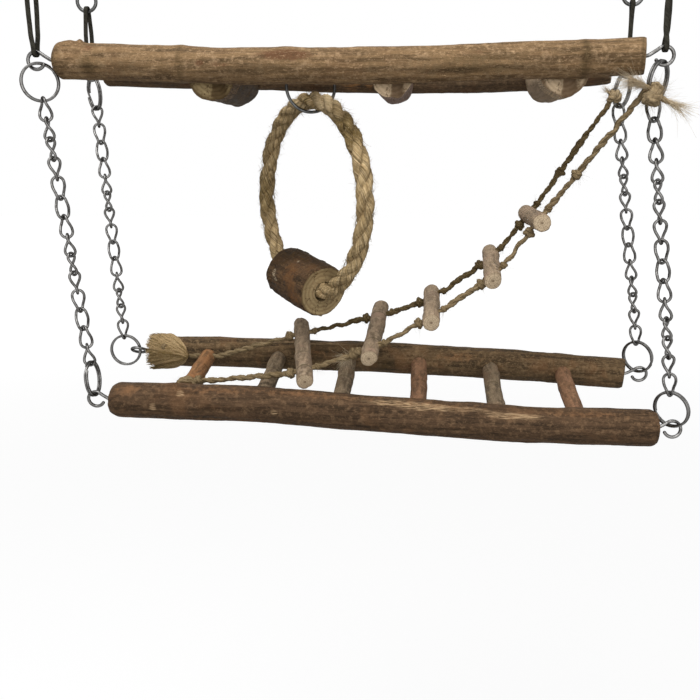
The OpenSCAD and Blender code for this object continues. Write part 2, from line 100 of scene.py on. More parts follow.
# lattice noise from -1 to 1: every lattice corner has a number from a sine of its place, and the eight
# corners round a point are mixed by smooth weights
def latticeNoise(points, seed=0.0):
    cell = np.floor(points)
    part = points - cell
    part = part * part * (3 - 2 * part)
    total = np.zeros(points.shape[:-1])
    for corner in np.ndindex(2, 2, 2):
        wave = np.sin((cell + corner) @ np.array([127.1, 311.7, 74.7]) + 17.3 * seed) * 43758.5453
        weight = np.prod(np.where(np.array(corner) == 1, part, 1 - part), axis=-1)
        total += weight * (wave - np.floor(wave))
    return 2 * total - 1


# lattice noise along a line
def lineNoise(far, one, two, seed):
    return latticeNoise(np.stack([far, 0 * far + one, 0 * far + two], -1), seed)


# sum of lattice noises, each twice as fine and half as strong as the one before
def layeredNoise(points, layers, seed=0.0):
    return sum(latticeNoise(points * 2 ** k, seed + 5 * k) * 0.5 ** k for k in range(layers))


# points evenly spaced along a path, about step apart
def evenPath(path, step, closed=False):
    if closed:
        path = np.vstack([path, path[:1]])
    gaps = np.linalg.norm(np.diff(path, axis=0), axis=1)
    far = np.concatenate([[0], np.cumsum(gaps)])
    at = np.linspace(0, far[-1], max(4, int(np.ceil(far[-1] / step)) + 1))
    out = np.stack([np.interp(at, far, path[:, k]) for k in range(3)], 1)
    return out[:-1] if closed else out


# running mean of a path over count points each way, with its ends kept
def easedPath(path, count):
    kernel = np.ones(2 * count + 1) / (2 * count + 1)
    first = 2 * path[0] - path[count:0:-1]
    last = 2 * path[-1] - path[-2:-count - 2:-1]
    padded = np.vstack([first, path, last])
    return np.stack([np.convolve(padded[:, k], kernel, "valid") for k in range(3)], 1)


# grid of points [along, round] to faces, with a fan at each open end; uv has one column more than points,
# and is one grid, or one for the near and one for the far edge of each row of faces; marks holds three
# amounts for each point: worn bare (with painted light on the steps), darkened (with painted shade) and
# reddened
def skinGrid(points, uv, slots=None, loop=False, marks=None):
    rows, cols = points.shape[:2]
    marks = np.zeros(points.shape) if marks is None else marks
    lap = rows if loop else rows - 1
    near, far = uv if isinstance(uv, tuple) else (uv[:lap], uv[1:lap + 1])
    i, j = np.arange(lap)[:, None], np.arange(cols)[None, :]
    low, high, right = i * cols, (i + 1) % rows * cols, (j + 1) % cols
    quads = np.stack([low + j, low + right, high + right, high + j], -1).reshape(-1, 4)
    quadUv = np.stack([near[:, :-1], near[:, 1:], far[:, 1:], far[:, :-1]], 2).reshape(-1, 2)
    rowSlots = np.zeros(lap, int) if slots is None else np.asarray(slots)
    quadSlots = np.repeat(rowSlots, cols)
    verts, stains = points.reshape(-1, 3), marks.reshape(-1, 3)
    tris, triUv, triSlots = np.zeros((0, 3), int), np.zeros((0, 2)), np.zeros(0, int)
    if not loop:
        j, k = np.arange(cols), (np.arange(cols) + 1) % cols
        middle = rows * cols
        verts = np.vstack([verts, points[0].mean(0), points[-1].mean(0)])
        stains = np.vstack([stains, marks[0].mean(0), marks[-1].mean(0)])
        first = np.stack([np.full(cols, middle), k, j], 1)
        last = np.stack([np.full(cols, middle + 1), (rows - 1) * cols + j, (rows - 1) * cols + k], 1)
        tris = np.vstack([first, last])
        midA, midB = np.tile(near[0].mean(0), (cols, 1)), np.tile(far[-1].mean(0), (cols, 1))
        uvA = np.stack([midA, near[0, 1:], near[0, :-1]], 1).reshape(-1, 2)
        uvB = np.stack([midB, far[-1, :-1], far[-1, 1:]], 1).reshape(-1, 2)
        triUv = np.vstack([uvA, uvB])
        triSlots = np.repeat([rowSlots[0], rowSlots[-1]], cols)
    return dict(verts=verts, quads=quads, tris=tris, quadUv=quadUv, triUv=triUv, quadSlots=quadSlots,
                triSlots=triSlots, marks=stains)


# many skins as one
def joinSkins(parts):
    shift = np.cumsum([0] + [len(p["verts"]) for p in parts[:-1]])
    whole = {key: np.concatenate([p[key] for p in parts]) for key in parts[0]}
    for key in ("quads", "tris"):
        whole[key] = np.concatenate([p[key] + s for p, s in zip(parts, shift)])
    return whole


# a new object in the scene
def addObject(name, data):
    made = bpy.data.objects.new(name, data)
    bpy.context.scene.collection.objects.link(made)
    return made


# one finished piece: its mesh, finishes, the body it moves with, the solids it stands for and the angle above
# which its edges are sharp
def makePiece(name, parts, finishes, body, nodes, sharp=None):
    whole = joinSkins(parts)
    mesh = bpy.data.meshes.new(name)
    mesh.from_pydata((whole["verts"] * mm).tolist(), [], whole["quads"].tolist() + whole["tris"].tolist())
    layer = mesh.uv_layers.new(name="lay")
    layer.data.foreach_set("uv", np.vstack([whole["quadUv"], whole["triUv"]]).astype(np.float32).ravel())
    layer = mesh.attributes.new("marks", "FLOAT_VECTOR", "POINT")
    layer.data.foreach_set("vector", whole["marks"].astype(np.float32).ravel())
    for finish in finishes:
        mesh.materials.append(finish)
    faceSlots = np.concatenate([whole["quadSlots"], whole["triSlots"]])
    mesh.polygons.foreach_set("material_index", faceSlots.astype(np.int32))
    mesh.polygons.foreach_set("use_smooth", np.ones(len(mesh.polygons), bool))
    if sharp:
        mesh.set_sharp_from_angle(angle=np.radians(sharp))
    mesh.update()
    piece = addObject(name, mesh)
    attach(piece, body)
    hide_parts(*nodes)


# two directions square to a path: the one nearest to ref, and its cross product with the path
def squareFrame(path, ref, loop):
    step = np.roll(path, -1, 0) - np.roll(path, 1, 0) if loop else np.gradient(path, axis=0)
    along = unit(step)
    normal = squareTo(ref, along)
    return normal, np.cross(along, normal)


# a section carried along a path: point = path + section x · normal + section y · binormal
def carrySection(path, ref, section, loop=False, dark=None):
    normal, other = squareFrame(path, ref, loop)
    points = path[:, None] + section[..., 0:1] * normal[:, None] + section[..., 1:2] * other[:, None]
    hop = np.linalg.norm(np.diff(np.vstack([path, path[:1]]) if loop else path, axis=0), axis=1)
    far = np.concatenate([[0], np.cumsum(hop)])
    marks = np.zeros(points.shape)
    marks[..., 1] = 0 if dark is None else dark[:, None]
    return skinGrid(points, pairs(far, np.linspace(0, 1, points.shape[1] + 1)), loop=loop, marks=marks)


# round wire along a path, with half-ball ends: radius · (cos a, sin a) carried along it, where the radius of
# the end rings is radius · cos b at radius · sin b past the end
def wire(path, radius, count, ref, loop=False):
    size = np.full(len(path), float(radius))
    ref = np.broadcast_to(ref, path.shape)
    if not loop:
        b = np.radians([84, 64, 42, 20])
        first, last = unit(path[0] - path[1]), unit(path[-1] - path[-2])
        reach, thin = radius * np.sin(b)[:, None], radius * np.cos(b)
        path = np.vstack([path[0] + reach * first, path, path[-1] + reach[::-1] * last])
        size = np.concatenate([thin, size, thin[::-1]])
        ref = np.vstack([np.tile(ref[:1], (4, 1)), ref, np.tile(ref[-1:], (4, 1))])
    return carrySection(path, ref, size[:, None, None] * circle(roundAngles(count)), loop)


# strands laid into a cord: strand k runs off from the cord's middle at the angle of a full turn per pitch,
# plus its share of a turn and a slow wander; its own radius has ridges, one for each yarn, that wind the
# other way; ref is a direction, or a function of the path
def laidCord(path, ref, lay, loop=False, swell=None, start=0.0, dark=None):
    path = evenPath(path, lay["step"], loop)
    normal, other = squareFrame(path, ref(path) if callable(ref) else ref, loop)
    rows = np.arange(len(path))
    far = rows * np.linalg.norm(path[1] - path[0])
    turns = (far[-1] + lay["step"]) / lay["pitch"]
    pitch = lay["pitch"] * turns / max(1, round(turns)) if loop else lay["pitch"]
    a = roundAngles(lay["sides"])
    grow = np.ones(len(path)) if swell is None else swell(far / far[-1])
    shade = None if dark is None else dark(far / far[-1])
    wander = 0 if loop else lay["wander"]
    parts = []
    for k in range(lay["strands"]):
        drift = lineNoise(far / 17, 3 * k, start, 40 + k)
        wind = fullTurn * (far / pitch + k / lay["strands"]) + start + wander * drift
        out = np.cos(wind)[:, None] * normal + np.sin(wind)[:, None] * other
        middle = path + (lay["off"] * grow)[:, None] * out
        yarn = lay["yarns"] * a[None] + fullTurn * far[:, None] / lay["yarnPitch"]
        lump = lineNoise(far / 4, 7 * k, start, k)[:, None]
        size = lay["strandR"] * grow[:, None] * (1 + lay["ridge"] * np.cos(yarn) + lay["lumps"] * lump)
        if not loop:
            size = size * np.minimum(1, 0.15 + np.minimum(rows, rows[::-1]) / 2)[:, None]
        parts.append(carrySection(middle, out, size[..., None] * circle(a), loop, shade))
    return joinSkins(parts)


# threads along many paths at once, each with three sides and a thinner tip
def threads(path, thick, tip=0.2):
    count, rows = path.shape[:2]
    s = np.linspace(0, 1, rows)
    along = unit(np.gradient(path, axis=1))
    side = unit(np.cross(along, np.array([0.31, 0.83, 0.46])))
    other = np.cross(along, side)
    a = roundAngles(3)
    size = (thick * (1 - (1 - tip) * s))[None, :, None, None]
    spoke = np.cos(a)[:, None] * side[:, :, None] + np.sin(a)[:, None] * other[:, :, None]
    points = path[:, :, None] + size * spoke
    i, j = np.arange(rows - 1)[:, None], np.arange(3)[None]
    right = (j + 1) % 3
    one = np.stack([i * 3 + j, i * 3 + right, i * 3 + 3 + right, i * 3 + 3 + j], -1).reshape(-1, 4)
    base = np.arange(count)[:, None, None] * (3 * rows)
    last = rows * 3 - 3
    tips = np.array([[0, 2, 1], [last, last + 1, last + 2]])
    quads, tris = (one[None] + base).reshape(-1, 4), (tips[None] + base).reshape(-1, 3)
    u = np.repeat(s[:-1], 3) * 9
    cell = np.stack([np.stack([u + p, 0 * u + q], 1) for p, q in ((0, 0), (0, .3), (1, .3), (1, 0))], 1)
    shift = np.random.default_rng(count).random((count, 1, 2)) * np.array([40, 1])
    verts = points.reshape(-1, 3)
    return dict(verts=verts, quads=quads, tris=tris, quadUv=(cell.reshape(1, -1, 2) + shift).reshape(-1, 2),
                triUv=np.zeros((len(tris) * 3, 2)), quadSlots=np.zeros(len(quads), int),
                triSlots=np.zeros(len(tris), int), marks=np.zeros(verts.shape))


# loose fibres: each is a thread along root + length · (s · out + s² · droop)
def looseFibres(roots, outs, droops, lengths, thick):
    s = np.linspace(0, 1, 6)[None, :, None]
    paths = roots[:, None] + lengths[:, None, None] * (s * outs[:, None] + s ** 2 * droops[:, None])
    return threads(paths, thick)


# fibres that stand off a cord: from points on its outside, out and along it
def cordFuzz(path, outer, count, length, thick, seed, lean=0.6):
    path = evenPath(path, 0.5)
    dice = np.random.default_rng(seed)
    at = dice.integers(2, len(path) - 2, count)
    along = unit(np.gradient(path, axis=0))[at]
    out = squareTo(unit(dice.normal(size=(count, 3))), along)
    way = unit(out * (0.5 + dice.random((count, 1))) + lean * along * dice.choice([-1, 1], (count, 1)))
    droop = 0.5 * unit(dice.normal(size=(count, 3))) - 0.15 * zAxis
    lengths = length * (0.4 + 0.8 * dice.random(count))
    return looseFibres(path[at] + 0.9 * outer * out, way, droop, lengths, thick)


# lumpy ball: point = at + size · (1 + .14 · noise) · (sin p cos a, sin p sin a, cos p)
def ballSkin(at, size, seed):
    p, a = np.meshgrid(np.linspace(np.pi - .12, .12, 16), roundAngles(24), indexing="ij")
    out = np.stack([np.sin(p) * np.cos(a), np.sin(p) * np.sin(a), np.cos(p)], -1)
    points = at + (size * (1 + .14 * layeredNoise(out * 2.2 + seed, 3, seed)))[..., None] * out
    return skinGrid(points, pairs(np.linspace(0, 9, 16), np.linspace(0, 1, 25)))


def put(tree, kind, feeds=None, **settings):
    made = tree.nodes.new("ShaderNode" + kind)
    for key, value in settings.items():
        setattr(made, key, value)
    for key, value in (feeds or {}).items():
        if isinstance(value, bpy.types.NodeSocket):
            tree.links.new(value, made.inputs[key])
        else:
            made.inputs[key].default_value = value
    return made


def spreadTo(tree, value, low, high, toLow=0.0, toHigh=1.0):
    feeds = {0: value, 1: low, 2: high, 3: toLow, 4: toHigh}
    return put(tree, "MapRange", feeds, interpolation_type="SMOOTHSTEP").outputs[0]


def noiseOf(tree, vector, scale, detail=4.0, rough=0.55, warp=0.0):
    feeds = {"Vector": vector, "Scale": scale, "Detail": detail, "Roughness": rough, "Distortion": warp}
    return put(tree, "TexNoise", feeds).outputs["Fac"]


def mathOf(tree, operation, a, b=0.0):
    return put(tree, "Math", {0: a, 1: b}, operation=operation).outputs[0]


# sum of values, each times its weight
def weighed(tree, *terms):
    total = 0.0
    for value, weight in terms:
        total = put(tree, "Math", {0: value, 1: weight, 2: total}, operation="MULTIPLY_ADD").outputs[0]
    return total


def scaled(tree, vector, by):
    return put(tree, "VectorMath", {0: vector, 1: by}, operation="MULTIPLY").outputs[0]


# one tone over another by amount times a mask, which is a value or a value with the range it is spread over
def over(tree, under, top, mask, amount=1.0):
    mask = spreadTo(tree, *mask) if isinstance(mask, tuple) else mask
    feeds = {0: mathOf(tree, "MULTIPLY", mask, amount), 6: under, 7: top}
    return put(tree, "Mix", feeds, data_type="RGBA").outputs[2]


def tinted(tree, tone, by):
    feeds = {0: 1.0, 6: tone, 7: by + (1.0,)}
    return put(tree, "Mix", feeds, data_type="RGBA", blend_type="MULTIPLY").outputs[2]


# where a mark of the mesh is strong, with an edge broken up by a noise
def markMask(tree, mark, noise):
    return spreadTo(tree, weighed(tree, (mark, 1.0), (noise, 0.9)), 0.62, 0.98)


def newGroup(name, vectors, floats, tones):
    tree = bpy.data.node_groups.new(name, "ShaderNodeTree")
    for kind, labels in (("Vector", vectors), ("Float", floats), ("Color", tones)):
        for label in labels.split():
            tree.interface.new_socket(label, in_out="INPUT", socket_type="NodeSocket" + kind)
    return tree, tree.nodes.new("NodeGroupInput").outputs


def closeGroup(tree, tone, rough, relief):
    outs = {"Tone": ("Color", tone), "Rough": ("Float", rough), "Relief": ("Float", relief)}
    for label, (kind, value) in outs.items():
        tree.interface.new_socket(label, in_out="OUTPUT", socket_type="NodeSocket" + kind)
    ends = tree.nodes.new("NodeGroupOutput").inputs
    for label, (kind, value) in outs.items():
        tree.links.new(value, ends[label])
    return tree


# bark: long streaks and fine fibres along the first axis of the vector, large blotches, dark specks and pale
# flecks; worn marks show bare wood, on the steps also as painted light; dark marks lower the tone for stains
# and for painted shade; red marks turn it to the blotch tone, on the deck's front log also as painted light
# on its top
def makeBarkGroup():
    floats = "Worn Shade Tint Blotches Specks Streaks Flecks"
    tree, i = newGroup("barkLook", "Vector", floats, "Light Middle Dark Blotch Bare")
    place = i["Vector"]
    drawn = scaled(tree, place, (0.07, 1, 1))
    streak = noiseOf(tree, drawn, 0.42, 5, 0.6, 0.35)
    fibre = noiseOf(tree, drawn, 2.3, 4, 0.65)
    blotch = noiseOf(tree, place, 0.055, 5, 0.6, 0.6)
    mottle = noiseOf(tree, place, 0.32, 5, 0.65)
    speck = spreadTo(tree, noiseOf(tree, place, 2.6, 3, 0.7), 0.56, 0.67)
    fleck = noiseOf(tree, scaled(tree, place, (0.4, 1, 1)), 1.5, 4, 0.75)
    tone = over(tree, i["Dark"], i["Middle"], (streak, 0.34, 0.62))
    tone = over(tree, tone, i["Light"], (mottle, 0.46, 0.74), 0.8)
    tone = over(tree, tone, i["Light"], (fibre, 0.55, 0.8), i["Streaks"])
    tone = over(tree, tone, i["Dark"], (fibre, 0.45, 0.24), i["Streaks"])
    tone = over(tree, tone, i["Blotch"], (blotch, 0.5, 0.68), i["Blotches"])
    tone = over(tree, tone, i["Blotch"], markMask(tree, i["Tint"], mottle), 0.85)
    tone = over(tree, tone, tinted(tree, i["Light"], (1.3, 1.28, 1.25)), (fleck, 0.54, 0.64), i["Flecks"])
    tone = over(tree, tone, i["Dark"], speck, i["Specks"])
    shaded = tinted(tree, tone, (0.42, 0.42, 0.37))
    tone = over(tree, tone, shaded, markMask(tree, i["Shade"], mottle), 0.9)
    wornAndPaintedLight = markMask(tree, i["Worn"], streak)
    tone = over(tree, tone, over(tree, tone, i["Bare"], (fibre, 0.4, 0.65)), wornAndPaintedLight)
    relief = weighed(tree, (streak, 0.8), (fibre, 0.5), (mottle, 0.6), (speck, -0.25), (wornAndPaintedLight, -0.3))
    return closeGroup(tree, tone, spreadTo(tree, mottle, 0.3, 0.75, 0.62, 0.9), relief)


# end grain: year rings by distance from the middle, saw lines across, cracks along the rays, a darker rim
# and a darker pith
def makeEndGroup():
    tree, i = newGroup("endGrainLook", "Vector", "Shade Radius Spacing", "Light Dark")
    place = i["Vector"]
    warp = noiseOf(tree, place, 0.22, 3)
    split = put(tree, "SeparateXYZ", {0: place}).outputs
    away = put(tree, "VectorMath", {0: place}, operation="LENGTH").outputs["Value"]
    bent = weighed(tree, (away, fullTurn), (warp, 2.2 * fullTurn))
    ring = mathOf(tree, "SINE", mathOf(tree, "DIVIDE", bent, i["Spacing"]))
    angle = mathOf(tree, "ARCTAN2", split["Y"], split["X"])
    ray = mathOf(tree, "SINE", weighed(tree, (angle, 9.0), (warp, 14.0)))
    crack = mathOf(tree, "MULTIPLY", spreadTo(tree, ray, 0.965, 0.995), spreadTo(tree, away, 0.4, 2.0))
    saw = noiseOf(tree, scaled(tree, place, (0.12, 1.6, 1)), 1.1, 3)
    blot = noiseOf(tree, place, 0.35, 4)
    tone = over(tree, i["Light"], i["Dark"], (ring, -0.6, 0.9), 0.55)
    tone = over(tree, tone, i["Dark"], (saw, 0.5, 0.75), 0.5)
    tone = over(tree, tone, i["Dark"], (blot, 0.52, 0.72), 0.6)
    darker = tinted(tree, tone, (0.34, 0.3, 0.27))
    tone = over(tree, tone, darker, (mathOf(tree, "DIVIDE", away, i["Radius"]), 0.84, 0.97), 0.8)
    tone = over(tree, tone, darker, crack, 0.8)
    tone = over(tree, tone, darker, (away, 1.1, 0.5), 0.7)
    tone = over(tree, tone, darker, markMask(tree, i["Shade"], blot))
    relief = weighed(tree, (saw, 0.7), (ring, 0.08), (crack, -1.0))
    return closeGroup(tree, tone, spreadTo(tree, saw, 0.3, 0.8, 0.7, 0.92), relief)


# spun fibre: fine hairs and short dark grooves that wind along the strand by its own length and turn, with
# patches by place; dark marks lower the tone for stains and for painted shade, and marks below zero lift it
# as painted light
def makeFibreGroup():
    tree, i = newGroup("spunFibreLook", "Lay Place", "Shade Patches", "Light Middle Dark")
    split = put(tree, "SeparateXYZ", {0: i["Lay"]}).outputs
    wound = weighed(tree, (split["Y"], fullTurn), (split["X"], 0.09 * fullTurn))
    wide, deep = [mathOf(tree, "MULTIPLY", mathOf(tree, wave, wound), 3.2) for wave in ("SINE", "COSINE")]
    hairs, cuts = [put(tree, "CombineXYZ", {0: wide, 1: deep, 2: mathOf(tree, "MULTIPLY", split["X"], share)})
                   for share in (0.12, 0.3)]
    hair = noiseOf(tree, hairs.outputs[0], 1.35, 5, 0.75)
    yarn = noiseOf(tree, hairs.outputs[0], 0.55, 3, 0.55)
    groove = spreadTo(tree, noiseOf(tree, cuts.outputs[0], 0.95, 3, 0.6), 0.58, 0.68)
    patch = noiseOf(tree, i["Place"], 0.075, 4, 0.6)
    dust = noiseOf(tree, i["Place"], 0.9, 3, 0.6)
    tone = over(tree, i["Dark"], i["Middle"], (yarn, 0.33, 0.6))
    tone = over(tree, tone, i["Light"], (hair, 0.44, 0.68))
    tone = over(tree, tone, i["Dark"], (hair, 0.4, 0.26), 0.75)
    tone = over(tree, tone, tinted(tree, tone, (0.45, 0.4, 0.33)), (patch, 0.5, 0.7), i["Patches"])
    olive = tinted(tree, tone, (0.42, 0.4, 0.3))
    tone = over(tree, tone, olive, markMask(tree, i["Shade"], dust), 0.9)
    tone = over(tree, tone, i["Light"], (dust, 0.55, 0.78), 0.35)
    # marks below zero: painted light
    tone = over(tree, tone, i["Light"], (i["Shade"], -0.1, -0.9), 0.7)
    tone = over(tree, tone, i["Dark"], groove, 0.6)
    relief = weighed(tree, (hair, 1.0), (yarn, 0.8), (groove, -0.4))
    return closeGroup(tree, tone, spreadTo(tree, hair, 0.3, 0.7, 0.92, 0.7), relief)


# metal: dull film in patches, fine scratches, darker spots
def makeMetalGroup():
    tree, i = newGroup("metalLook", "Vector", "Film Gloss", "Clean Dull")
    film = noiseOf(tree, i["Vector"], 0.35, 5, 0.65, 0.4)
    fine = noiseOf(tree, i["Vector"], 1.4, 3, 0.6)
    tone = over(tree, i["Clean"], i["Dull"], (film, 0.42, 0.66), i["Film"])
    tone = over(tree, tone, i["Dull"], (fine, 0.6, 0.78), 0.3)
    rough = weighed(tree, (i["Gloss"], 1.0), (spreadTo(tree, film, 0.35, 0.7), 0.22))
    return closeGroup(tree, tone, rough, fine)


barkGroup, endGroup = makeBarkGroup(), makeEndGroup()
fibreGroup, metalGroup = makeFibreGroup(), makeMetalGroup()


# a material with one look group: the group's colour, roughness and relief go to the shader, and the amounts
# painted on the mesh go to the group
def dressed(name, group, vectors, marks, values, bump, bumpSize, specular, metallic=0.0):
    material = bpy.data.materials.new(name)
    material.use_nodes = True
    tree = material.node_tree
    tree.nodes.clear()
    look = put(tree, "Group", node_tree=group)
    coords = put(tree, "TexCoord").outputs
    for socket, (source, turn, scale) in vectors.items():
        mapped = put(tree, "Mapping", {"Vector": coords[source], "Rotation": turn, "Scale": scale})
        tree.links.new(mapped.outputs[0], look.inputs[socket])
    if marks:
        amounts = put(tree, "Attribute", attribute_name="marks").outputs["Vector"]
        painted = put(tree, "SeparateXYZ", {0: amounts}).outputs
    for socket, channel in marks.items():
        tree.links.new(painted[channel], look.inputs[socket])
    for socket, value in values.items():
        look.inputs[socket].default_value = value + (1.0,) if isinstance(value, tuple) else value
    relief = put(tree, "Bump", {"Strength": bump, "Distance": bumpSize, "Height": look.outputs["Relief"]})
    # a drawn wire is darker where it turns away: the dark edge tint of the metal is a painted reflection of
    # darker surroundings
    paintedEdgeReflection = (0.16, 0.155, 0.15, 1) if metallic else (1, 1, 1, 1)
    shader = put(tree, "BsdfPrincipled", {
        "Base Color": look.outputs["Tone"], "Roughness": look.outputs["Rough"], "Normal": relief.outputs[0],
        "Metallic": metallic, "Specular IOR Level": specular, "Specular Tint": paintedEdgeReflection})
    put(tree, "OutputMaterial", {0: shader.outputs[0]})
    return material


perMm = (1000.0, 1000.0, 1000.0)
noTurn = (0.0, 0.0, 0.0)
hoopYaw, hoopLean = -52, 10         # degrees: the rope hoop about Z, and before that in its own plane
alongX = {"Vector": ("Object", noTurn, perMm)}
alongY = {"Vector": ("Object", (0, 0, -np.pi / 2), perMm)}
# the barrel's length turned onto the first axis: back by its yaw, then by its lean
barrelTurn = Matrix.Rotation(np.radians(-hoopLean), 3, "Y") @ Matrix.Rotation(np.radians(-hoopYaw), 3, "Z")
alongBarrel = {"Vector": ("Object", tuple(barrelTurn.to_euler()), perMm)}
crossUv = {"Vector": ("UV", noTurn, (1, 1, 1))}
cordUv = {"Lay": ("UV", noTurn, (1, 1, 1)), "Place": ("Object", noTurn, perMm)}
barkMarks = {"Worn": 0, "Shade": 1, "Tint": 2}
shadeMark = {"Shade": 1}


# tones are light, middle, dark, blotch and bare wood
def barkFinish(name, vectors, tones, blotches, specks, streaks, flecks=0.3, bump=0.55):
    values = dict(zip(("Light", "Middle", "Dark", "Blotch", "Bare"), tones))
    values.update({"Blotches": blotches, "Specks": specks, "Streaks": streaks, "Flecks": flecks})
    return dressed(name, barkGroup, vectors, barkMarks, values, bump, bumpSize=0.0009, specular=0.1)


def endFinish(name, light, dark, radius, spacing):
    values = {"Light": light, "Dark": dark, "Radius": radius, "Spacing": spacing}
    return dressed(name, endGroup, crossUv, shadeMark, values, bump=0.5, bumpSize=0.0004, specular=0.1)


def fibreFinish(name, light, middle, dark, patches, bump=0.6):
    values = {"Light": light, "Middle": middle, "Dark": dark, "Patches": patches}
    return dressed(name, fibreGroup, cordUv, shadeMark, values, bump, bumpSize=0.0004, specular=0.08)


def metalFinish(name, clean, dull, film, gloss):
    values = {"Clean": clean, "Dull": dull, "Film": film, "Gloss": gloss}
    look = dict(bump=0.12, bumpSize=0.0001, specular=0.4, metallic=1.0)
    return dressed(name, metalGroup, alongX, {}, values, **look)


frontBark = barkFinish("frontBark", alongX, [(.52, .35, .2), (.275, .172, .084), (.1, .062, .03),
                       (.15, .07, .034), (.5, .33, .18)], 0.2, 0.8, 0.7, 0.4, 0.8)
backBark = barkFinish("backBark", alongX, [(.25, .165, .094), (.142, .091, .051), (.056, .037, .023),
                      (.14, .07, .035), (.45, .22, .08)], 0.6, 0.6, 0.6, 0.45)
deckBark = barkFinish("deckBark", alongX, [(.22, .135, .075), (.102, .06, .033), (.036, .022, .012),
                      (.25, .128, .06), (.5, .34, .19)], 0.3, 0.55, 0.8, 0.35, 0.8)
deckBackBark = barkFinish("deckBackBark", alongX, [(.29, .19, .1), (.145, .093, .048), (.045, .03, .016),
                          (.27, .135, .06), (.5, .34, .19)], 0.4, 0.8, 0.8, 0.5, 0.8)
leftStepBark = barkFinish("leftStepBark", alongY, [(.19, .135, .085), (.085, .06, .038), (.036, .026, .017),
                          (.13, .085, .05), (.3, .2, .12)], 0.5, 0.7, 0.6, 0.5)
midStepBark = barkFinish("midStepBark", alongY, [(.46, .33, .26), (.27, .175, .13), (.13, .085, .062),
                         (.3, .17, .13), (.6, .44, .32)], 0.6, 0.6, 0.5, 0.5)
stepBark = barkFinish("stepBark", alongY, [(.68, .52, .35), (.47, .345, .225), (.22, .158, .1),
                      (.4, .28, .18), (.95, .74, .48)], 0.6, 0.6, 0.5, 0.4)
rungBark = barkFinish("rungBark", alongY, [(.4, .3, .195), (.238, .176, .11), (.095, .068, .042),
                      (.29, .18, .105), (.45, .33, .2)], 0.5, 0.7, 0.6)
redRungBark = barkFinish("redRungBark", alongY, [(.48, .275, .135), (.33, .158, .066), (.13, .068, .033),
                         (.38, .17, .07), (.45, .3, .17)], 0.7, 0.5, 0.7)
pinkRungBark = barkFinish("pinkRungBark", alongY, [(.44, .25, .142), (.275, .147, .08), (.11, .063, .035),
                          (.3, .16, .095), (.45, .32, .2)], 0.6, 0.6, 0.5)
twigBark = barkFinish("twigBark", alongY, [(.5, .385, .27), (.31, .225, .145), (.15, .107, .068),
                      (.38, .25, .175), (.5, .38, .25)], 0.6, 0.25, 0.4, 0.2)
paleTwigBark = barkFinish("paleTwigBark", alongY, [(.64, .495, .35), (.41, .3, .195), (.2, .143, .092),
                          (.45, .3, .21), (.56, .43, .29)], 0.6, 0.15, 0.4, 0.2)
barrelBark = barkFinish("barrelBark", alongBarrel, [(.21, .128, .066), (.094, .054, .028), (.028, .018, .01),
                        (.19, .09, .036), (.62, .5, .34)], 0.35, 0.9, 0.5, 0.5, 0.9)
logEnd = endFinish("logEnd", (.44, .33, .2), (.26, .175, .095), 8.4, 1.5)
leftStepEnd = endFinish("leftStepEnd", (.44, .33, .17), (.24, .165, .08), 12.0, 2.1)
stepEnd = endFinish("stepEnd", (.72, .55, .36), (.5, .36, .22), 11.2, 2.3)
twigEnd = endFinish("twigEnd", (.55, .43, .29), (.34, .25, .16), 4.6, 1.1)
barrelEnd = endFinish("barrelEnd", (.38, .283, .148), (.21, .142, .071), 15.0, 2.4)
ropeFibre = fibreFinish("ropeFibre", (.86, .66, .385), (.43, .298, .143), (.11, .071, .028), 0.35, 1.0)
twineFibre = fibreFinish("twineFibre", (.405, .305, .172), (.228, .162, .086), (.095, .066, .032), 0.4)
combedFibre = fibreFinish("combedFibre", (.86, .64, .37), (.61, .43, .22), (.31, .205, .092), 0.25)
tieFibre = fibreFinish("tieFibre", (.62, .48, .3), (.36, .265, .15), (.14, .098, .05), 0.3)
hairFibre = fibreFinish("hairFibre", (.95, .82, .6), (.76, .61, .41), (.5, .38, .23), 0.2)
strapFibre = fibreFinish("strapFibre", (.062, .058, .044), (.038, .035, .027), (.012, .011, .009), 0.4, 0.4)
nickel = metalFinish("nickel", (.168, .164, .158), (.062, .058, .053), 0.75, 0.22)
darkSteel = metalFinish("darkSteel", (.1, .1, .098), (.04, .038, .035), 0.7, 0.28)
print("finishes ready")


# faces of a piece with two cut ends of count rings each: the ends have the place across them as uv and
# slot 1, the side between them has length and turn as uv and slot 0
def cutSkin(points, cross, far, count, marks):
    rows, cols = points.shape[:2]
    cross = np.concatenate([cross, cross[:, :1]], 1)
    side = pairs(far, np.linspace(0, 1, cols + 1))
    slots = np.ones(rows - 1, int)
    slots[count:rows - count - 1] = 0
    onEnd = (slots == 1)[:, None, None]
    uv = (np.where(onEnd, cross[:-1], side[:-1]), np.where(onEnd, cross[1:], side[1:]))
    return skinGrid(points, uv, slots, marks=marks)


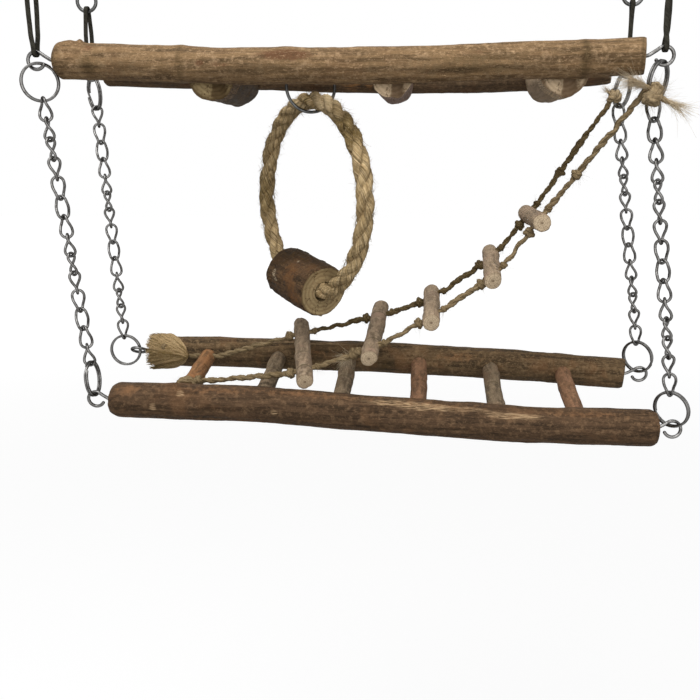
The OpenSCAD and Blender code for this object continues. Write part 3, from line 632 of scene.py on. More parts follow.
# a branch round a centre line: radius = mean · end rounding · (1 + .02 sin(3a + 210°u + s) + .018 sin(560°u
# + a + 2s)) + rough · noise drawn out along the branch - gouges where a second noise is high + a bell over
# length and angle for each knot; marks are such bells too; the end faces are rings that shrink to the middle,
# with a dome
def branch(centre, normal, other, look):
    rows, cols = len(centre), look["cols"]
    u = np.linspace(-1, 1, rows)[:, None]
    a = roundAngles(cols)[None]
    seed = look["seed"]
    s = np.radians(seed)
    length = np.linalg.norm(centre[-1] - centre[0])
    far = (u + 1) / 2 * length
    fromA, fromB = look["roundFrom"]
    startPart, endPart = np.clip((-u - 1 + fromA) / fromA, 0, 1), np.clip((u - 1 + fromB) / fromB, 0, 1)
    rounding = (1 - look["ends"][0] * startPart ** 2) * (1 - look["ends"][1] * endPart ** 2)
    waves = .02 * np.sin(3 * a + np.radians(210) * u + s) + .018 * np.sin(np.radians(560) * u + a + 2 * s)
    place = roundPlaces(far / look["drawn"], a, look["radius"] / 3)
    rough = look["rough"] * layeredNoise(place, 4, seed * .13)
    second = layeredNoise(place * np.array([0.5, 1.3, 1.3]), 3, seed * .29 + 3)
    radius = look["radius"] * rounding * (1 + waves) + rough - look["gouge"] * smoothStep(second, 0.35, 0.8)
    for at, turn, height, wide, spread in look["knots"]:
        radius = radius + height * bell(far, a, length * (at + 1) / 2, turn, wide, spread)
    shrink = np.array([0.05, 0.18, 0.34, 0.5, 0.66, 0.8, 0.9, 0.965])
    count = len(shrink)
    marks = np.zeros((rows + 2 * count, cols, 3))
    for kind, at, turn, wide, spread, strength in look.get("marks", []):
        amount = strength * bell(far, a, length * (at + 1) / 2, turn, wide, spread)
        marks[count:count + rows, :, kind] += amount
    along = unit(np.gradient(centre, axis=0))
    out = np.cos(a)[..., None] * normal + np.sin(a)[..., None] * other
    points = centre[:, None] + radius[..., None] * out
    faces = []
    for row, way in ((0, -1), (-1, 1)):
        disc = centre[row] + (shrink[:, None] * radius[row])[..., None] * out[0]
        push = way * (0.35 * (1 - shrink ** 4) + 0.12 * lineNoise(shrink * 9, 0, row, seed))
        faces.append(disc + push[:, None, None] * along[row])
    points = np.concatenate([faces[0], points, faces[1][::-1]])
    # slanted saw cuts shear the last stretch of the branch
    way = along[rows // 2]
    reach = (points - centre.mean(0)) @ way
    off = points - (centre.mean(0) + reach[..., None] * way)
    stretch = (length / 2 - look["radius"] * 2.5, length / 2)
    first, last = smoothStep(-reach, *stretch), smoothStep(reach, *stretch)
    shear = (look["cuts"][0] * first + look["cuts"][1] * last) * (off @ other)
    shear = shear + look.get("slant", 0) * last * (off @ normal)
    points = points + shear[..., None] * way
    allRadius = np.concatenate([shrink[:, None] * radius[0], radius, shrink[::-1, None] * radius[-1]])
    farAll = np.concatenate([np.zeros(count), far[:, 0], np.full(count, length)])
    return cutSkin(points, allRadius[..., None] * circle(a), farAll, count, marks)


# driving sizes, most of which the solids have too; lists of four are in the order of corners
play = .3
deckShift = 19.0
waveTop = 1.038                 # the waves of a log lift its radius by at most 3.8 %
corners = ["front_left", "front_right", "back_left", "back_right"]
sides, rowsOf = np.array([-1, 1, -1, 1]), np.array([-1, -1, 1, 1])
logs = Sizes(half=145.0, gap=37.5, rows=420, cols=84)
hooks = Sizes(bow=6.0, thick=1.0, sweep=290, eye=5.5)
hangers = Sizes(cord=2.2, inside=32.0, half=2.4, spread=(1.1, .5, .2, .2), beside=(.9, .9, .95, .3), wide=2.4,
                thick=1.1)
eyes = Sizes(reach=9.0, ring=4.3, thick=.9, fromAngle=42, sweep=290, neck=7.8, shank=14.0,
             roll=(0, -15, 50, 0))
rings = Sizes(middle=9.2, band=1.4, solidWide=2.2, wide=1.06, pitch=1.12, ends=8, shift=26, flush=45,
              upperLean=np.array([6, -11, 6, -11]), upperTurn=np.array([38, 52, -50, 54]),
              lowerTurn=np.array([90, -42, 0, -42]))
chains = Sizes(links=np.array([14, 15, 14, 14]), slack=2, half=3.05, inside=10.2, thick=.75, turn=24.0)

# heights from the hook seats down: the hook's eye, the cord loop, the middle of the upper logs
hookEyeZ = -2 * hooks.bow - hooks.eye
loopTop = hookEyeZ - hooks.eye + hooks.thick + play + hangers.cord / 2
loopBottom = loopTop - hangers.inside - hangers.cord
eyeInside = eyes.ring - eyes.thick
frameZ = loopBottom + hangers.cord / 2 + play - eyeInside
squareHang = eyeInside - rings.band / 2 - play


# how far a ring's wire hangs below an eye's middle: at its bottom, or on its two sides if the ring is turned
# little against it
def eyeHang(turn):
    a = np.radians(turn)
    reach = eyes.thick + rings.solidWide / 2 + 1.5 * play
    away = reach / np.maximum(np.abs(np.sin(a)), 1e-6)
    onSides = np.cos(a) * np.sqrt(np.maximum(0, eyes.ring ** 2 - away ** 2))
    return np.where(np.abs(turn) > rings.flush, squareHang, onSides)


# way down of a leg that leans along X by an angle in degrees
def hangWay(lean):
    return np.stack([np.sin(np.radians(lean)), 0 * lean, -np.cos(np.radians(lean))], -1)


# legs: an upper ring, a chain and a lower ring at each corner; the deck hangs on three of them, and the lower
# ring of the slack one lies beside its eye
ringR = rings.middle
linkTwist = 90 - chains.turn
linkPitch, linkSpan = chains.inside - play, chains.inside + 2 * chains.thick
linkToRing = chains.thick + rings.band / 2 + play
eyeX = logs.half + eyes.reach
upperEyeAt = np.stack([sides * eyeX, rowsOf * logs.gap, 0 * sides + frameZ], -1)
upperWay = hangWay(rings.upperLean)
upperRingAt = upperEyeAt + (eyeHang(rings.upperTurn) + ringR)[:, None] * upperWay
chainTop = upperRingAt + ringR * upperWay
chainReach = (chains.links - 1) * linkPitch + linkSpan - 2 * linkToRing + ringR
isSlack = np.arange(4) == chains.slack
legReach = chainReach + ringR + np.where(isSlack, squareHang, eyeHang(rings.lowerTurn))
legLean = np.arcsin((sides * eyeX + deckShift - chainTop[:, 0]) / legReach)
legZ = chainTop[:, 2] - legReach * np.cos(legLean)
roll, tilt = np.arctan((legZ[0] - legZ[1]) / (2 * eyeX)), np.arctan((legZ[3] - legZ[1]) / (2 * logs.gap))
deckGap, deckEyeX = logs.gap / np.cos(tilt), eyeX / np.cos(roll)
deckTurn = turnAbout(1, np.degrees(roll)) @ turnAbout(0, np.degrees(tilt))
deckAt = np.array([deckShift, 0, (legZ[0] + legZ[3]) / 2])


def onDeck(points):
    return np.asarray(points) @ deckTurn.T + deckAt


deckEyeAt = np.stack([sides * deckEyeX, rowsOf * deckGap, 0 * sides], -1)
slackLean = np.arcsin((onDeck(deckEyeAt)[:, 0] - ringR + eyes.thick - chainTop[:, 0]) / chainReach)
chainLean = np.degrees(np.where(isSlack, slackLean, legLean))
lowerRingAt = chainTop + chainReach[:, None] * hangWay(chainLean)
joins = chains.links - 1
allTurn = rings.lowerTurn - rings.upperTurn - linkTwist
linkTurns = (allTurn - 180 * np.round((chains.turn * joins + allTurn) / 180)) / joins

# knots are place along, turn, height, width and spread; marks are kind, place along, turn, width, spread and
# strength; the front of a log is at 180 degrees and its top at 90
# kinds of mark: bare wood, darker (stains, and painted shade where it falls low on a log), and redder
bare, stainAndShade, red = range(3)
logPieces = {
    "upperFrontBranch": dict(
        node="upper_front_log", bark=frontBark, radius=8.7, sag=3.4, wave=0, seed=20, side=-1, deck=False,
        ends=(.6, .06), roundFrom=(.03, .012), rough=.3, gouge=.3,
        knots=[(-.935, 95, 1.3, 4, 45), (-.898, 95, 1.7, 1.5, 16), (-.546, 150, .45, 3, 200),
               (.8, 150, .4, 3, 200), (.18, 170, .5, 5, 30), (-.18, 120, .5, 6, 40)],
        marks=[(stainAndShade, -.546, 150, 2.8, 400, .36), (stainAndShade, .8, 150, 3.4, 400, .42),
               (stainAndShade, -.98, 150, 4, 400, .4), (stainAndShade, .99, 150, 1.2, 400, .4),
               # the broad dark marks low on the front, at turns 168 to 202, are painted shade on the log's
               # lower half; the others are dark node bands and stains
               (stainAndShade, -.86, 200, 5, 50, .4), (stainAndShade, .42, 202, 42, 26, .42),
               (stainAndShade, .42, 168, 38, 12, .32), (stainAndShade, -.3, 198, 26, 30, .3),
               (stainAndShade, .1, 140, 2, 90, .25), (stainAndShade, -.75, 195, 14, 40, .3),
               (red, -.184, 150, 12, 18, 1), (stainAndShade, -.184, 150, 10, 14, .3),
               (red, -.47, 178, 3, 12, .5), (red, -.4, 184, 5, 9, .5), (red, -.86, 130, 7, 25, .4),
               (red, .45, 150, 9, 12, .35)]),
    "upperBackBranch": dict(
        node="upper_back_log", bark=backBark, radius=7.8, sag=4.2, wave=1.4, seed=75, side=1, deck=False,
        ends=(.08, .08), roundFrom=(.015, .015), rough=.3, gouge=.35,
        knots=[(-.6, 200, .9, 5, 35), (.1, 60, .8, 7, 40), (.7, -60, .9, 5, 30)],
        marks=[(bare, .0, 195, 6.5, 40, .75), (bare, .07, 200, 3, 30, .6), (red, -.5, 190, 12, 60, .5)]),
    "deckFrontBranch": dict(
        node="deck_front_log", bark=deckBark, radius=9.6, sag=0, wave=1.8, seed=140, side=-1, deck=True,
        ends=(.24, .1), roundFrom=(.036, .02), rough=.36, gouge=.45, slant=-.06,
        knots=[(-.76, 95, 1.2, 4.5, 26), (-.1, 150, .6, 8, 40), (.34, 110, .8, 6, 40), (.72, 160, .6, 8, 50)],
        # the red marks along the whole top, at turns 108 to 120, are reddish patches and also painted light
        # that brightens the log's top
        marks=[(bare, -.825, 176, 2.0, 12, .8), (bare, -.726, 130, 2.6, 14, .75),
               (bare, -.376, 180, 2.4, 10, .7), (bare, .15, 116, 30, 15, .85),
               (bare, .5, 130, 13, 11, .8), (red, -.93, 120, 8, 34, .4), (red, -.62, 112, 30, 20, .38),
               (red, -.25, 108, 26, 18, .36), (red, .2, 108, 40, 14, .33), (red, .75, 112, 26, 20, .36)]),
    "deckBackBranch": dict(
        node="deck_back_log", bark=deckBackBark, radius=9.2, sag=-2.6, wave=0, seed=200, side=1, deck=True,
        ends=(.2, .1), roundFrom=(.05, .02), rough=.36, gouge=.45,
        knots=[(-.4, 100, .8, 6, 40), (.2, 160, .7, 7, 40), (.66, 130, .9, 5, 36)],
        marks=[(red, -.3, 150, 14, 30, .32), (bare, -.28, 112, 20, 10, .5), (bare, -.5, 110, 18, 9, .45),
               (red, .3, 140, 20, 30, .35), (stainAndShade, .0, 190, 18, 40, .4)]),
}


# height of a log's axis: -sag (1 - u²) - wave · sin(180° u)
def logHeight(name, x):
    u = x / logs.half
    return -logPieces[name]["sag"] * (1 - u ** 2) - logPieces[name]["wave"] * np.sin(np.pi * u)


for name, look in logPieces.items():
    x = np.linspace(-logs.half, logs.half, logs.rows)
    y = look["side"] * (deckGap if look["deck"] else logs.gap)
    line = np.stack([x, 0 * x + y, logHeight(name, x)], 1)
    shape = {"cols": logs.cols, "drawn": 14.0, "cuts": (0, 0), "slant": .22, **look}
    skin = branch(line, yAxis, zAxis, shape)
    skin["verts"] = onDeck(skin["verts"]) if look["deck"] else skin["verts"] + frameZ * zAxis
    body, slot = ("deck", "deck_bark") if look["deck"] else ("upper_frame", "upper_bark")
    makePiece(name, [skin], [look["bark"], logEnd], body, [look["node"]], sharp=50)
print("logs done")

# cross pieces of the deck, the dowel and the ladder's rungs are straight branches between two points
rungs = Sizes(radius=4.7, spacing=43.0, depth=7.0,
              barks=[redRungBark, rungBark, rungBark, pinkRungBark, rungBark, pinkRungBark])
dowel = Sizes(x=-20.0, radius=4.6)
twine = Sizes(thick=3.0, knot=2.8, tiePlace=-62, frontWrap=7.2, backWrap=10.0, frontTurn=50, backTurn=55,
              lay=dict(step=.55, strands=2, strandR=1.1, off=.62, pitch=10.5, sides=10, yarns=4, ridge=.08,
                      yarnPitch=-5.0, lumps=.24, wander=1.5))
ladder = Sizes(
    radius=4.6, length=70.0, holes=44.0, cuts=[(.1, -.1), (.25, .1), (.3, -.1), (.5, .1), (-.12, .1)],
    bodies=["deck", "ladder_lower", "ladder_upper", "ladder_upper", "ladder_top"],
    at=np.array([.298, .467, .595, .727, .815]), sag=np.array([36, 49, 53.5, 50, 37]), tilt=(19, 16, 5, 7, 0),
    skew=(-11, 3.5, 1, 3.5, 0))


# ends of a cross piece at x, sunk into a front and a back log
def crossEnds(front, back, gap, x):
    frontY = gap - logPieces[front]["radius"] + rungs.depth
    backY = gap - logPieces[back]["radius"] + rungs.depth
    return np.array([[x, -frontY, logHeight(front, x)], [x, backY, logHeight(back, x)]])


def rungEnds(k):
    x = (k - (len(rungs.barks) - 1) / 2) * rungs.spacing
    return crossEnds("deckFrontBranch", "deckBackBranch", deckGap, x)


# straight branch from a to b with a little bow: centre = a + t (b - a) + bow · sin(180° t)
def straightBranch(a, b, look, bow=(0, 0, 0)):
    t = np.linspace(0, 1, look["rows"])[:, None]
    line = a + t * (b - a) + np.sin(np.pi * t) * np.array(bow)
    along = unit(b - a)
    other = squareTo(xAxis, along)
    return branch(line, np.cross(other, along), other, look)


# the ladder hangs between two knots on the deck, on the first rung and on the back log, and two on the rings
# of the right-hand corners; its rungs lie below the straight line between them
turn, lean = np.radians(rings.upperTurn), np.radians(rings.upperLean)
ringAcross = np.stack([np.cos(turn) * np.cos(lean), np.sin(turn), np.cos(turn) * np.sin(lean)], -1)
a = np.radians(twine.tiePlace)
topTies = (upperRingAt + ringR * (np.cos(a) * upperWay + np.sin(a) * ringAcross))[[1, 3]]
front, back = rungEnds(0)
wrapY = -deckGap + logPieces["deckFrontBranch"]["radius"] + twine.frontWrap
frontWrap = front + (wrapY - front[1]) / (back[1] - front[1]) * (back - front)
x = twine.backWrap - logs.half
backWrap = np.array([x, deckGap, logHeight("deckBackBranch", x)])
wrapOff, knotUp = twine.thick / 2 + play, twine.knot - twine.thick / 2 + .1
frontR = rungs.radius + wrapOff
backR = waveTop * logPieces["deckBackBranch"]["radius"] + wrapOff
a, b = np.radians(twine.frontTurn), np.radians(twine.backTurn)
frontKnot = frontWrap + (frontR + knotUp) * np.array([np.sin(a), 0, np.cos(a)])
backKnot = backWrap + (backR + knotUp) * np.array([0, -np.sin(b), np.cos(b)])
deckKnots = onDeck([frontKnot, backKnot])
foot, head = deckKnots.mean(0), topTies.mean(0)
line = foot + ladder.at[:, None] * (head - foot)
rungMiddles = np.stack([line[:, 0], 0 * ladder.at, line[:, 2] - ladder.sag], 1)
rungAlongs = unit(np.stack([ladder.skew, 0 * ladder.at + ladder.length, ladder.tilt], 1))

rungLook = dict(rows=110, cols=44, radius=rungs.radius, ends=(.0, .0), roundFrom=(.05, .05), rough=.2,
                gouge=.25, drawn=9.0, cuts=(0, 0), knots=[])
for k, bark in enumerate(rungs.barks):
    dice = np.random.default_rng(40 + k)
    knots = [(dice.uniform(-.6, .6), dice.uniform(0, 360), dice.uniform(.4, .8), 3.0, 40) for _ in range(3)]
    marks = [(stainAndShade, -.93, 0, 3.5, 400, .7), (stainAndShade, .93, 0, 3.5, 400, .7),
             (stainAndShade, dice.uniform(-.4, .4), 90, 2, 200, .4)]
    look = dict(rungLook, seed=31 + 53 * k, knots=knots, marks=marks)
    skin = straightBranch(*onDeck(rungEnds(k)), look, (0.5 * np.sin(k), 0, .5 * np.cos(2 * k)))
    label = "%d" % (k + 1)
    makePiece("deckRung" + label, [skin], [bark, twigEnd], "deck", ["deck_rung_" + label],
              sharp=50)
for k, body in enumerate(ladder.bodies):
    dice = np.random.default_rng(70 + k)
    knots = [(dice.uniform(-.8, .8), dice.uniform(0, 360), dice.uniform(.3, .7), 2.5, 40) for _ in range(4)]
    marks = [(stainAndShade, dice.uniform(-.9, .3), 0, .8, 400, .5), (stainAndShade, dice.uniform(-.3, .9), 0, .8, 400, .5)]
    half = ladder.length / 2 * rungAlongs[k]
    look = dict(rungLook, radius=ladder.radius, seed=11 + 67 * k, knots=knots, marks=marks,
                cuts=ladder.cuts[k], ends=(.05, .05), roundFrom=(.03, .03))
    skin = straightBranch(rungMiddles[k] - half, rungMiddles[k] + half, look)
    label = "%d" % (k + 1)
    bark = twigBark if k < 2 else paleTwigBark
    makePiece("ladderRung" + label, [skin], [bark, twigEnd], body, ["ladder_rung_" + label],
              sharp=50)
upperLogs = ("upperFrontBranch", "upperBackBranch")
dowelEnds = crossEnds(*upperLogs, logs.gap, dowel.x) + frameZ * zAxis
skin = straightBranch(*dowelEnds, dict(rungLook, radius=dowel.radius, seed=5))
makePiece("swingDowel", [skin], [rungBark, twigEnd], "upper_frame", ["swing_dowel"], sharp=50)
print("rungs done")

stepX = np.array([-66, 24.5, 108.5])
stepFrontZ, stepBackZ = [frameZ + logHeight(name, stepX) for name in upperLogs]
steps = Sizes(names=["left", "middle", "right"], radius=(12.2, 9.8, 11.4), clear=.05, under=4.2,
              cols=72, rows=70, scoop=3.2, below=4.8, seat=.2, length=57.0)


# a step: rings of radius r (1 + waves) + noise from one end face to the other; an end face lies at its plane
# or, where the log is nearer, on the log's own round, so the log sits in a hollow of the step's end; a scoop
# in the front face is a bell across it that fades out above the middle
def stepSkin(k):
    r, middle = steps.radius[k], (stepFrontZ[k] + stepBackZ[k]) / 2 - steps.below
    a = roundAngles(steps.cols)[None]
    shrink = np.array([.05, .16, .28, .4, .52, .64, .75, .85, .93, .98])
    t = np.concatenate([0 * shrink, np.linspace(0, 1, steps.rows), 0 * shrink + 1])[:, None]
    factor = np.concatenate([shrink, np.ones(steps.rows), shrink[::-1]])[:, None]
    waves = .025 * np.sin(2 * a + 1.3 * k) + .02 * np.sin(5 * a + 4 * t + k)
    radius = factor * r * (1 + waves) + factor ** 4 * .3 * layeredNoise(roundPlaces(t * 5, a, 3), 4, 9 + k)
    x, z = radius * np.cos(a), middle + radius * np.sin(a)
    scoop = np.exp(-((x - .25 * r) / (.36 * r)) ** 2) * smoothStep(middle - z, -.2 * r, .3 * r)
    # from each log's axis to the step's end plane, and to the round of the log
    planes, rounds = [], []
    for name, logZ in zip(upperLogs, (stepFrontZ[k], stepBackZ[k])):
        size = logPieces[name]["radius"]
        planes.append(waveTop * size + steps.clear - steps.under)
        rounds.append(np.sqrt(np.maximum((size + steps.seat) ** 2 - (z - logZ) ** 2, 0)))
    front = np.maximum(planes[0] + steps.scoop * scoop, rounds[0]) - logs.gap
    back = logs.gap - np.maximum(planes[1], rounds[1])
    y = front + t * (back - front)
    # worn marks at the front give pale bare wood, whose tone also lifts the step's shaded side as painted
    # light
    wornAndPaintedLight = 1.1 * smoothStep(1 - t, .7, .85) + 0 * y
    # rings turn from +Z to +X, so that the skin faces outwards along +Y
    points = np.stack([stepX[k] + x, y, z], -1)[:, ::-1]
    # the scoop's dark mark is painted shade in the hollow of the front face
    marks = np.stack([wornAndPaintedLight, .8 * scoop * (1 - t) ** 12, 0 * y], -1)[:, ::-1]
    cross = np.stack([x, z - middle], -1)[:, ::-1]
    return cutSkin(points, cross, t[:, 0] * steps.length, len(shrink), marks)


for k, name in enumerate(steps.names):
    bark, face = [(leftStepBark, leftStepEnd), (midStepBark, stepEnd), (stepBark, stepEnd)][k]
    makePiece(name + "Step", [stepSkin(k)], [bark, face], "upper_frame", ["step_" + name],
              sharp=40)
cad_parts["step_nails"].data.materials.clear()
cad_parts["step_nails"].data.materials.append(darkSteel)
print("steps done")


# screw eye: straight shank, a neck that slants up, then an arc; corners eased by a running mean
def eyePath():
    a = np.radians(np.linspace(eyes.fromAngle, eyes.fromAngle + eyes.sweep, 70))
    arc = eyes.ring * upright(a)
    rough = np.vstack([[eyes.reach + eyes.shank, 0, 0], [eyes.neck, 0, 0], arc])
    return easedPath(evenPath(rough, .25), 4)


upperEyes, deckEyes = [], []
for i in range(4):
    path = eyePath() * np.array([-sides[i], 1, 1])
    upperEyes.append(wire(path + upperEyeAt[i], eyes.thick, 12, yAxis))
    turned = turnAbout(0, eyes.roll[i])
    path = onDeck(path @ turned.T + deckEyeAt[i])
    deckEyes.append(wire(path, eyes.thick, 12, deckTurn @ turned @ yAxis))
makePiece("upperEyes", upperEyes, [nickel], "upper_frame", ["upper_screw_eyes"])
makePiece("deckEyes", deckEyes, [nickel], "deck", ["deck_screw_eyes"])


# section of a flat band with rounded edges: a circle whose coordinates are raised to a power below 1
def bandSection(count, power, deep, wide):
    flat = circle(roundAngles(count))
    return np.sign(flat) * np.abs(flat) ** power * np.array([deep, wide]) / 2


# split ring: a flat wire with rounded edges wound twice round, at -pitch/2 on the first turn and +pitch/2 on
# the second
def splitRing(start):
    turn = np.radians(np.linspace(rings.ends, 720 - rings.ends, 150))
    side = rings.pitch * (smoothStep(np.degrees(turn), 360 - rings.shift, 360 + rings.shift) - .5)
    out = upright(turn + np.radians(start))
    path = ringR * out + side[:, None] * yAxis
    return carrySection(path, out, bandSection(16, .55, rings.band, rings.wide))


levels = [("upper", upperRingAt, rings.upperLean, rings.upperTurn, 40),
          ("lower", lowerRingAt, chainLean, rings.lowerTurn, 130)]
for i, corner in enumerate(corners):
    for level, at, lean, turn, start in levels:
        skin = splitRing(start + 70 * i)
        place = turnAbout(1, -lean[i]) @ turnAbout(2, turn[i])
        skin["verts"] = skin["verts"] @ place.T + at[i]
        label = level + "_ring_" + corner
        makePiece(level + "Ring_" + corner, [skin], [nickel], label, [label], sharp=50)


# twisted link: a long oval whose points turn about its length from -twist/2 at the top to +twist/2 at the
# bottom; the last stretch before the ends keeps the full turn
def linkSkin():
    m, straight = chains.half, linkSpan - 2 * chains.half
    bend = np.linspace(0, np.pi, 14)
    up = m * circle(bend) - np.array([0, m])
    down = m * circle(bend + np.pi) - np.array([0, m + straight])
    left = np.stack([np.full(8, -m), -m - straight * np.linspace(0, 1, 10)[1:-1]], 1)
    flat = np.vstack([up, left, down, left[::-1] * np.array([-1, 1])])
    turn = np.radians(linkTwist) * (smoothStep(-flat[:, 1], m - 1.2, m + straight + 1.2) - .5)
    path = np.stack([flat[:, 0] * np.cos(turn), flat[:, 0] * np.sin(turn), flat[:, 1]], 1)
    ref = np.stack([-np.sin(turn), np.cos(turn), 0 * turn], 1)
    return wire(path, chains.thick, 10, ref, loop=True)


for i, corner in enumerate(corners):
    hang = turnAbout(1, -chainLean[i])
    parts = []
    for j in range(chains.links[i]):
        link = linkSkin()
        spin = turnAbout(2, rings.upperTurn[i] + 90 + linkTwist / 2 + j * linkTurns[i])
        drop = (linkToRing - j * linkPitch) * zAxis
        link["verts"] = (link["verts"] @ spin.T + drop) @ hang.T + chainTop[i]
        parts.append(link)
    makePiece("chain_" + corner, parts, [nickel], "chain_" + corner, ["chain_" + corner])

seatAt = upperEyeAt * np.array([1, 1, 0])
for i, corner in enumerate(corners):
    # one wire: the bow from its tip round to its lowest point, then on into the closed eye below it
    a = np.radians(np.linspace(hooks.sweep - 90, -90, 60))
    b = np.radians(np.linspace(90, 446, 70))
    bow = hooks.bow * upright(a) - (hooks.bow - hooks.thick) * zAxis
    eye = hooks.eye * upright(b) + hookEyeZ * zAxis + (.25 * (b - b[0]) / fullTurn)[:, None] * yAxis
    path = easedPath(evenPath(np.vstack([bow, eye]), .3), 3)
    skin = wire(path + seatAt[i], hooks.thick, 12, yAxis)
    makePiece("hook_" + corner, [skin], [darkSteel], "cage_hooks", ["hook_" + corner])

strap = bandSection(18, .6, hangers.wide, hangers.thick)
for i, corner in enumerate(corners):
    # a flat strap round a long oval in the front-to-back plane, whose front run spreads to one side just
    # below the hook and whose back run spreads to the other, before both lie side by side down to the eye
    m, straight = hangers.half, loopTop - loopBottom - 2 * hangers.half
    b = np.linspace(0, np.pi, 20)
    above = np.stack([0 * b, m * np.cos(b), loopTop - m + m * np.sin(b)], 1)
    under = np.stack([0 * b, m * np.cos(b + np.pi), loopBottom + m + m * np.sin(b + np.pi)], 1)
    t = np.linspace(0, 1, 60)[1:-1]
    bow = hangers.spread[i] * t / .15 * np.exp(1 - t / .15) + hangers.beside[i] * smoothStep(t, 0, .5)
    bow = bow * smoothStep(1 - t, 0, .3)
    near = np.stack([-bow, -m + .9 * m * t * (1 - t), loopTop - m - straight * t], 1)
    path = np.vstack([above, near, under, near[::-1] * np.array([-1, -1, 1])])
    skin = carrySection(evenPath(path + seatAt[i], .5, True), xAxis, strap, loop=True)
    label = "hanger_" + corner
    makePiece(label, [skin], [strapFibre], label, ["hanger_loop_" + corner], sharp=60)
print("hardware done")

swing = Sizes(ringR=13.15, ringThick=.85, ringYaw=18, hoopR=52.0, ropeR=5.0, mouth=21.0,
              lay=dict(step=.8, strands=3, strandR=2.62, off=2.1, pitch=35.0, sides=30, yarns=9, ridge=.05,
                      yarnPitch=-15.0, lumps=.06, wander=.5))
# the steel ring hangs on the dowel and the rope in the steel ring, each with play
ringInside = swing.ringR - swing.ringThick
ringAt = np.array([dowel.x, 0, dowelEnds[:, 2].mean() + dowel.radius + play - ringInside])
hoopAt = ringAt + (play + swing.ropeR - ringInside - swing.hoopR) * zAxis
barrelDrop = np.sqrt(swing.hoopR ** 2 - swing.mouth ** 2)
hoopTurn = turnAbout(2, hoopYaw) @ turnAbout(1, hoopLean)
ringTurn = turnAbout(2, swing.ringYaw)
a = np.radians(np.linspace(91, 449, 160))
ringPath = (swing.ringR * upright(a) + (.12 * np.sin(3 * a))[:, None] * yAxis) @ ringTurn.T
skin = wire(ringPath + ringAt, swing.ringThick, 14, ringTurn @ yAxis)
makePiece("swingSteelRing", [skin], [darkSteel], "swing_ring", ["swing_steel_ring"])
openBy = np.degrees(np.arcsin(swing.mouth / swing.hoopR))
arc = swing.hoopR * upright(np.radians(np.linspace(openBy - 90, 270 - openBy, 240)))
inside = np.array([[0.4, 0, -barrelDrop]])
hoopPath = easedPath(evenPath(np.vstack([inside, arc, inside * np.array([-1, 1, 1])]), .8), 7)
hoopLength = np.sum(np.linalg.norm(np.diff(hoopPath, axis=0), axis=1))
hoopPath = hoopPath @ hoopTurn.T + hoopAt


# dark stretches of the rope, as bells over the angle round the hoop: stains at the upper right, far left and
# the very top;
# below zero a stretch is pale: painted light on both sides of the top
def ropeStainsAndLight(share):
    angle = openBy - 90 + (share * hoopLength - swing.mouth) / (swing.hoopR * fullTurn / 360)
    return sum(s * np.exp(-((angle - at) / wide) ** 2) for at, wide, s in (
        (52, 11, .78), (188, 24, .46), (97, 3, .6), (79, 10, -.9), (111, 8, -.5)))


rope = laidCord(hoopPath, hoopTurn @ yAxis, swing.lay, dark=ropeStainsAndLight)
fuzz = cordFuzz(hoopPath[30:-30], 4.6, count=620, length=2.8, thick=.07, seed=3)
shag = cordFuzz(hoopPath[20:-20], 4.5, count=2600, length=3.6, thick=.11, seed=9, lean=3.2)
makePiece("swingRope", [rope, fuzz, shag], [ropeFibre], "swing_rope", ["swing_rope"])

# marks as on the logs, with the place along in millimetres
barrel = Sizes(length=40.0, radius=15.0, bore=5.7, cols=96, rows=64, marks=[
    (stainAndShade, -16, 110, 12, 45, .8), (stainAndShade, -18, 235, 14, 40, .5), (stainAndShade, 5, 85, 18, 28, .7),
    (red, 4, 150, 9, 35, .45), (red, 12, 205, 8, 35, .42), (bare, -11, 168, 1.6, 9, .75),
    (bare, -8, 180, 2.6, 4, .7), (bare, 2, 118, 1.2, 4, .6)])


# barrel: a closed outline of outer wall, end face, bore and other end face turned about its length; the outer
# wall is radius · (1 + waves) + noise + pimples, the faces are rings from rim to bore with a little dish
def barrelSkin():
    n, faceRows, boreRows = barrel.rows, 10, 8
    half, r, bore = barrel.length / 2, barrel.radius, barrel.bore
    t = np.linspace(-1, 1, n)[:, None]
    blend = np.linspace(0, 1, faceRows + 2)[1:-1]
    a = roundAngles(barrel.cols)[None]
    place = roundPlaces(half * t / 6, a, 3.2)
    pimples = .7 * smoothStep(layeredNoise(place * 1.6, 2, 31), .45, .9)
    waves = .02 * np.sin(2 * a + .6) + .015 * np.sin(5 * a + 2 * t)
    rim = 1 - .05 * smoothStep(np.abs(t), .9, 1)
    outer = r * rim * (1 + waves) + .3 * layeredNoise(place, 4, 12) + pimples - .35
    rightFace = outer[-1] + blend[:, None] * (bore - outer[-1])
    leftFace = bore + blend[:, None] * (outer[0] - bore)
    boreX = np.linspace(half, -half, boreRows)[:, None]
    dish = (.5 * np.sin(np.pi * blend) + .2 * lineNoise(blend * 8, 0, 0, 0))[:, None]
    x = np.concatenate([half * t, half - dish, boreX, -half + dish]) + 0 * a
    radius = np.concatenate([outer, rightFace, bore + 0 * boreX + 0 * a, leftFace])
    across = radius[..., None] * circle(a)
    points = np.concatenate([x[..., None], across], -1)
    cross = np.concatenate([across, across[:, :1]], 1)
    slots = np.ones(len(points), int)
    slots[:n - 1] = 0
    marks = np.zeros(points.shape)
    for kind, at, turn, wide, spread, strength in barrel.marks:
        marks[:n, :, kind] += strength * bell(x[:n], a, at, turn, wide, spread)
    skin = skinGrid(points, (cross, np.roll(cross, -1, 0)), slots, loop=True, marks=marks)
    skin["verts"] = (skin["verts"] - barrelDrop * zAxis) @ hoopTurn.T + hoopAt
    return skin


finishes = [barrelBark, barrelEnd]
makePiece("swingBarrel", [barrelSkin()], finishes, "swing_barrel", ["swing_barrel"], sharp=45)
print("swing done")

